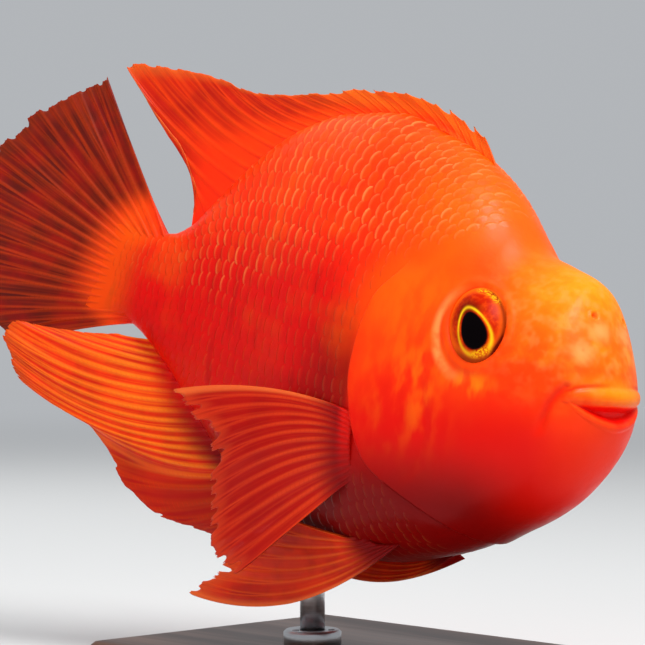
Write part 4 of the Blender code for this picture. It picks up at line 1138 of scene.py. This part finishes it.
pelvic_shapes = {
    "right": (-1, 53, [(0, 107, -12, -55.5), (0.25, 103, -12.5, -50), (0.5, 98, -13.5, -44),
                       (0.75, 91, -15, -37.5), (1, 82, -17.5, -32)], -6.8),
    "left": (1, 50.5, [(0, 97, 8, -40), (0.25, 92, 8.5, -38.5), (0.5, 86, 9.5, -37.5),
                       (0.75, 80, 11, -36.5), (1, 73, 13, -36)], -7.2)}
for word, (side, front, tips, droop) in pelvic_shapes.items():
    roots = [(0, front, side * 9, -34.2), (0.5, front + 5, side * 10.5, -34.8),
             (1, front + 10, side * 11.6, -34)]
    bows = [(0, 0, 0, droop), (0.5, 0, side * 0.5, 0.4 * droop), (1, 0, side * 2, 0)]
    fin_web("pelvic_fin_" + word, pelvic_backlit_finish, roots, tips, bows, 8, notch=1.2,
            fray=0.7, wave=0.35, fold=0.1, split=0.18, split_from=0.4, seed=31 + side)


# Each eye is one polished dome. Under its gloss lie a black egg-shaped pupil, narrow end up, a
# bright gold ring with gold flecks under it, and an orange iris, paler towards its rim and darker
# just above the pupil. At the front and the bottom the rim is darker, painted shade where the
# orbit shades the eye.
EYE_LONG, EYE_TALL, EYE_DEEP = 7.8, 10.2, 6.0
EYE_SUNK = 3.1
EYE_RINGS, EYE_ROUND = 140, 260
PUPIL_AT = (0.35, -2.2)             # back and up from the eye's middle
PUPIL_LONG, PUPIL_TALL = 3.0, 4.6
PUPIL_TAPER, PUPIL_LEAN = 0.24, 9.0
GOLD_AT, GOLD_SIZE, GOLD_WIDTH = (0.45, -2.1), 1.22, 0.075     # the ring round it
IRIS_LONG, IRIS_TALL = 6.7, 8.8
# Painted shade at the iris's front rim is darkest at RIM_DARK_AT.
RIM_GLOW_AT, RIM_DARK_AT, RIM_SOFT = 0.91, 0.97, 0.07       # as shares of the iris


def from_egg(x, y, middle):
    """Distance from an egg-shaped outline's middle, 1 on the outline, and places along the egg."""
    c, n = math.cos(math.radians(PUPIL_LEAN)), math.sin(math.radians(PUPIL_LEAN))
    px, py = x - middle[0], y - middle[1]
    px, py = px * c - py * n, py * c + px * n
    taper = np.clip(1 - PUPIL_TAPER * py / PUPIL_TALL, 0.5, 1.5)
    return np.hypot(px / (PUPIL_LONG * taper), py / PUPIL_TALL), px, py


def eye_marks(x, y, turn):
    """How much each of the iris's colours shows at x back and y up from the eye's middle."""
    inside, px, py = from_egg(x, y, PUPIL_AT)
    ring = from_egg(x, y, GOLD_AT)[0] / GOLD_SIZE
    under = fall(py, -5.2, -3.9) * fall(np.abs(px - 0.3), 1.6, 3.2)
    gold = np.exp(-((ring - 1) / GOLD_WIDTH) ** 2) * (0.85 + 0.15 * np.sin(turn * 3 + 1))
    gold = gold * (1 - 0.75 * under)
    rim = np.hypot(x / IRIS_LONG, y / IRIS_TALL)
    spark = np.exp(-((rim - RIM_GLOW_AT) / RIM_SOFT) ** 2)
    spark = spark * fall(x, -2.0, -0.4) * smooth_step(y, 2.5, 4.5)
    flecks = np.clip(under * fall(rim, 0.85, 0.98) + 0.8 * spark, 0, 1)
    dark = fall(inside, 1.3, 2.2) * smooth_step(py, 2.5, 5.0) * 0.85
    # Painted shade round the rim's front and bottom, where the orbit shades the eye.
    dark = dark + 0.8 * np.exp(-((rim - RIM_DARK_AT) / RIM_SOFT) ** 2) * fall(x, -4, -1.5)
    dark = np.clip(dark + 0.7 * smooth_step(rim, 0.84, 1.0) * fall(y, -7, -3), 0, 1)
    return {"pupil": fall(inside, 0.93, 1.03), "gold": gold, "dark": dark, "flecks": flecks,
            "rim": smooth_step(rim, 0.72, 0.98)}


def eye_ball(side, word, finish):
    place, back, up, out = seat_on_skin(EYE_S, EYE_Z, side, EYE_TILT)
    rise, turn = np.meshgrid(np.linspace(0.5 * np.pi, -0.5 * np.pi, EYE_RINGS)[1:-1],
                             np.linspace(0, 2 * np.pi, EYE_ROUND, endpoint=False), indexing="ij")
    rise = 0.5 * np.pi * np.sin(rise)
    x = EYE_LONG * np.cos(rise) * np.cos(turn)
    y = EYE_TALL * np.cos(rise) * np.sin(turn)
    high = EYE_DEEP * np.sin(rise)
    straight = place + x[..., None] * back + y[..., None] * up + (high - EYE_SUNK)[..., None] * out
    poles = [place + (top * EYE_DEEP - EYE_SUNK) * out for top in (1, -1)]
    points = np.concatenate([straight.reshape(-1, 3), poles])
    rings = EYE_RINGS - 2
    faces = grid_faces(rings, EYE_ROUND, closed=True).tolist() + pole_fans(rings, EYE_ROUND)
    if side < 0:
        faces = [face[::-1] for face in faces]
    piece = solid_piece("eye_ball_" + word, bent(points), faces, finish, ("eye_" + word,),
                        points)
    front = smooth_step(high, 0, 1)
    for mark, values in eye_marks(x, y, turn).items():
        at_pole = 1 if mark == "pupil" else 0
        keep_values(piece, mark, np.concatenate([(values * front).ravel(), [at_pole, 0]]))


def eye_finish():
    finish, tree = new_finish("eye_glass")
    place = put_node(tree, "Attribute", attribute_name="place").outputs["Vector"]
    pupil, gold, dark, flecks, rim = (kept_value(tree, word)
                                      for word in ("pupil", "gold", "dark", "flecks", "rim"))
    fine = mottle(tree, place, 1.1)
    specks = ramp(tree, mottle(tree, place, 0.5, detail=1.0), 0.44, 0.56)
    colour = tint(tree, ramp(tree, fine, 0.4, 0.7, 0.0, 0.6), pigment(188, 30, 0), pigment(232, 74, 4))
    colour = tint(tree, rim, colour, pigment(246, 96, 14))
    # Darker just above the pupil, and painted shade at the rim's front and bottom.
    colour = tint(tree, dark, colour, pigment(96, 14, 2))
    colour = tint(tree, sums(tree, "MULTIPLY", flecks, specks), colour, pigment(255, 184, 16))
    colour = tint(tree, gold, colour, pigment(255, 204, 24))
    colour = tint(tree, pupil, colour, pigment(4, 1, 2))
    shader = put_node(tree, "BsdfPrincipled", {
        "Base Color": colour, "Roughness": 0.35, "Specular IOR Level": 0.03, "Coat Weight": 0.015,
        "Coat Roughness": 0.03})
    show(tree, shader)
    return finish


eye_glass = eye_finish()
eye_ball(-1, "right", eye_glass)
eye_ball(1, "left", eye_glass)


# The stand is a plain moulded slab of dark walnut, a turned steel rod that runs up into the
# belly and a steel collar that three small screws hold to the slab.
BASE_ROUND = 2.0
BASE_MOULDING = [(1.4, 0), (0.4, 0.25), (0, 1.0), (0, 4.2), (0.2, 4.6), (0.9, 4.9), (1.15, 5.3),
                 (1.3, 6.2), (1.8, 7.1), (2.7, 7.75), (4.0, 8.0), (6.0, 8.0)]     # inset, height
ROD_RADIUS, COLLAR_RADIUS, COLLAR_HIGH, COLLAR_EDGE = 3.0, 7.0, 4.0, 0.6
SCREWS, SCREW_RADIUS, SCREW_CIRCLE = 3, 0.85, 5.1
ROD_SUNK = 1.5


def wood_finish():
    finish, tree = new_finish("walnut")
    place = put_node(tree, "TexCoord").outputs["Object"]
    grain = mottle(tree, place, 0.011, (0.09, 1.0, 1.0), 6.0)
    lines = mottle(tree, place, 0.0012, (0.03, 1.0, 1.0), 2.0)
    colour = tint(tree, ramp(tree, grain, 0.3, 0.7), pigment(54, 30, 18), pigment(104, 64, 38))
    colour = tint(tree, ramp(tree, lines, 0.5, 0.75, 0.0, 0.6), colour, pigment(34, 18, 11))
    shader = put_node(tree, "BsdfPrincipled", {
        "Base Color": colour, "Roughness": ramp(tree, grain, 0.3, 0.7, 0.5, 0.36),
        "Coat Weight": 0.25, "Coat Roughness": 0.3, "Normal": bumps(tree, lines, 0.15, 0.0003)})
    show(tree, shader)
    return finish


def steel_finish():
    finish, tree = new_finish("turned_steel")
    place = put_node(tree, "TexCoord").outputs["Object"]
    rings = mottle(tree, place, 0.0004, (0.05, 0.05, 1.0), 2.0)
    colour = tint(tree, ramp(tree, rings, 0.3, 0.7), pigment(190, 191, 194), pigment(204, 204, 206))
    shader = put_node(tree, "BsdfPrincipled", {
        "Base Color": colour, "Metallic": 1.0, "Roughness": ramp(tree, rings, 0.3, 0.7, 0.3, 0.36),
        "Normal": bumps(tree, rings, 0.05, 0.0001)})
    show(tree, shader)
    return finish


def moulded_base(finish):
    low, high = (np.array(corner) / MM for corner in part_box("stand_base"))
    half = 0.5 * (high - low)[:2]
    turns = np.linspace(0, 0.5 * np.pi, 9)
    points = []
    for inset, z in BASE_MOULDING:
        radius = max(BASE_ROUND + 2 - inset, 0.4)
        for quarter, (sx, sy) in enumerate(((1, 1), (-1, 1), (-1, -1), (1, -1))):
            for turn in turns + quarter * 0.5 * np.pi:
                points.append((sx * (half[0] - inset - radius) + radius * math.cos(turn),
                               sy * (half[1] - inset - radius) + radius * math.sin(turn), z))
    around = 4 * len(turns)
    faces = grid_faces(len(BASE_MOULDING), around, closed=True).tolist()
    faces += [list(range(around))[::-1], list(range(len(points) - around, len(points)))]
    solid_piece("base_slab", np.array(points) * MM, faces, finish, ("stand_base",))


def turned(name, profile, centre, finish, stands_for=(), around=72):
    """A piece turned on a lathe: a closed outline of (radius, height) run round an upright axis."""
    turns = np.linspace(0, 2 * np.pi, around, endpoint=False)
    radius, height = np.array(profile, float).T
    points = np.stack([centre[0] + np.outer(radius, np.cos(turns)),
                       centre[1] + np.outer(radius, np.sin(turns)), height[:, None] + 0 * turns], -1)
    faces = grid_faces(len(profile), around, closed=True).tolist()
    last = (len(profile) - 1) * around
    if profile[0] != profile[-1]:
        faces += [list(range(around))[::-1], list(range(last, last + around))]
    return solid_piece(name, points * MM, faces, finish, stands_for)


walnut, steel = wood_finish(), steel_finish()
moulded_base(walnut)
base_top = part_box("stand_base")[1].z / MM
rod_low, rod_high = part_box("stand_rod")
rod_centre = 0.5 * (rod_low + rod_high) / MM
turned("rod", [(ROD_RADIUS, base_top), (ROD_RADIUS, rod_high.z / MM + ROD_SUNK)], rod_centre, steel,
       ("stand_rod",))
collar_top = base_top + COLLAR_HIGH
bore = ROD_RADIUS + 0.1
turned("collar", [(bore, base_top), (COLLAR_RADIUS, base_top), (COLLAR_RADIUS, collar_top - COLLAR_EDGE),
                  (COLLAR_RADIUS - COLLAR_EDGE, collar_top), (bore + 0.4, collar_top),
                  (bore, collar_top - 0.4), (bore, base_top)],
       rod_centre, steel, ("stand_collar",))
for k in range(SCREWS):
    turn = 2 * math.pi * k / SCREWS + 0.4
    spot = (rod_centre.x + SCREW_CIRCLE * math.cos(turn), rod_centre.y + SCREW_CIRCLE * math.sin(turn))
    turned(f"collar_screw_{k + 1}", [(SCREW_RADIUS, collar_top - 0.5), (SCREW_RADIUS, collar_top + 0.15),
                                     (SCREW_RADIUS * 0.8, collar_top + 0.32)], spot, steel, around=24)
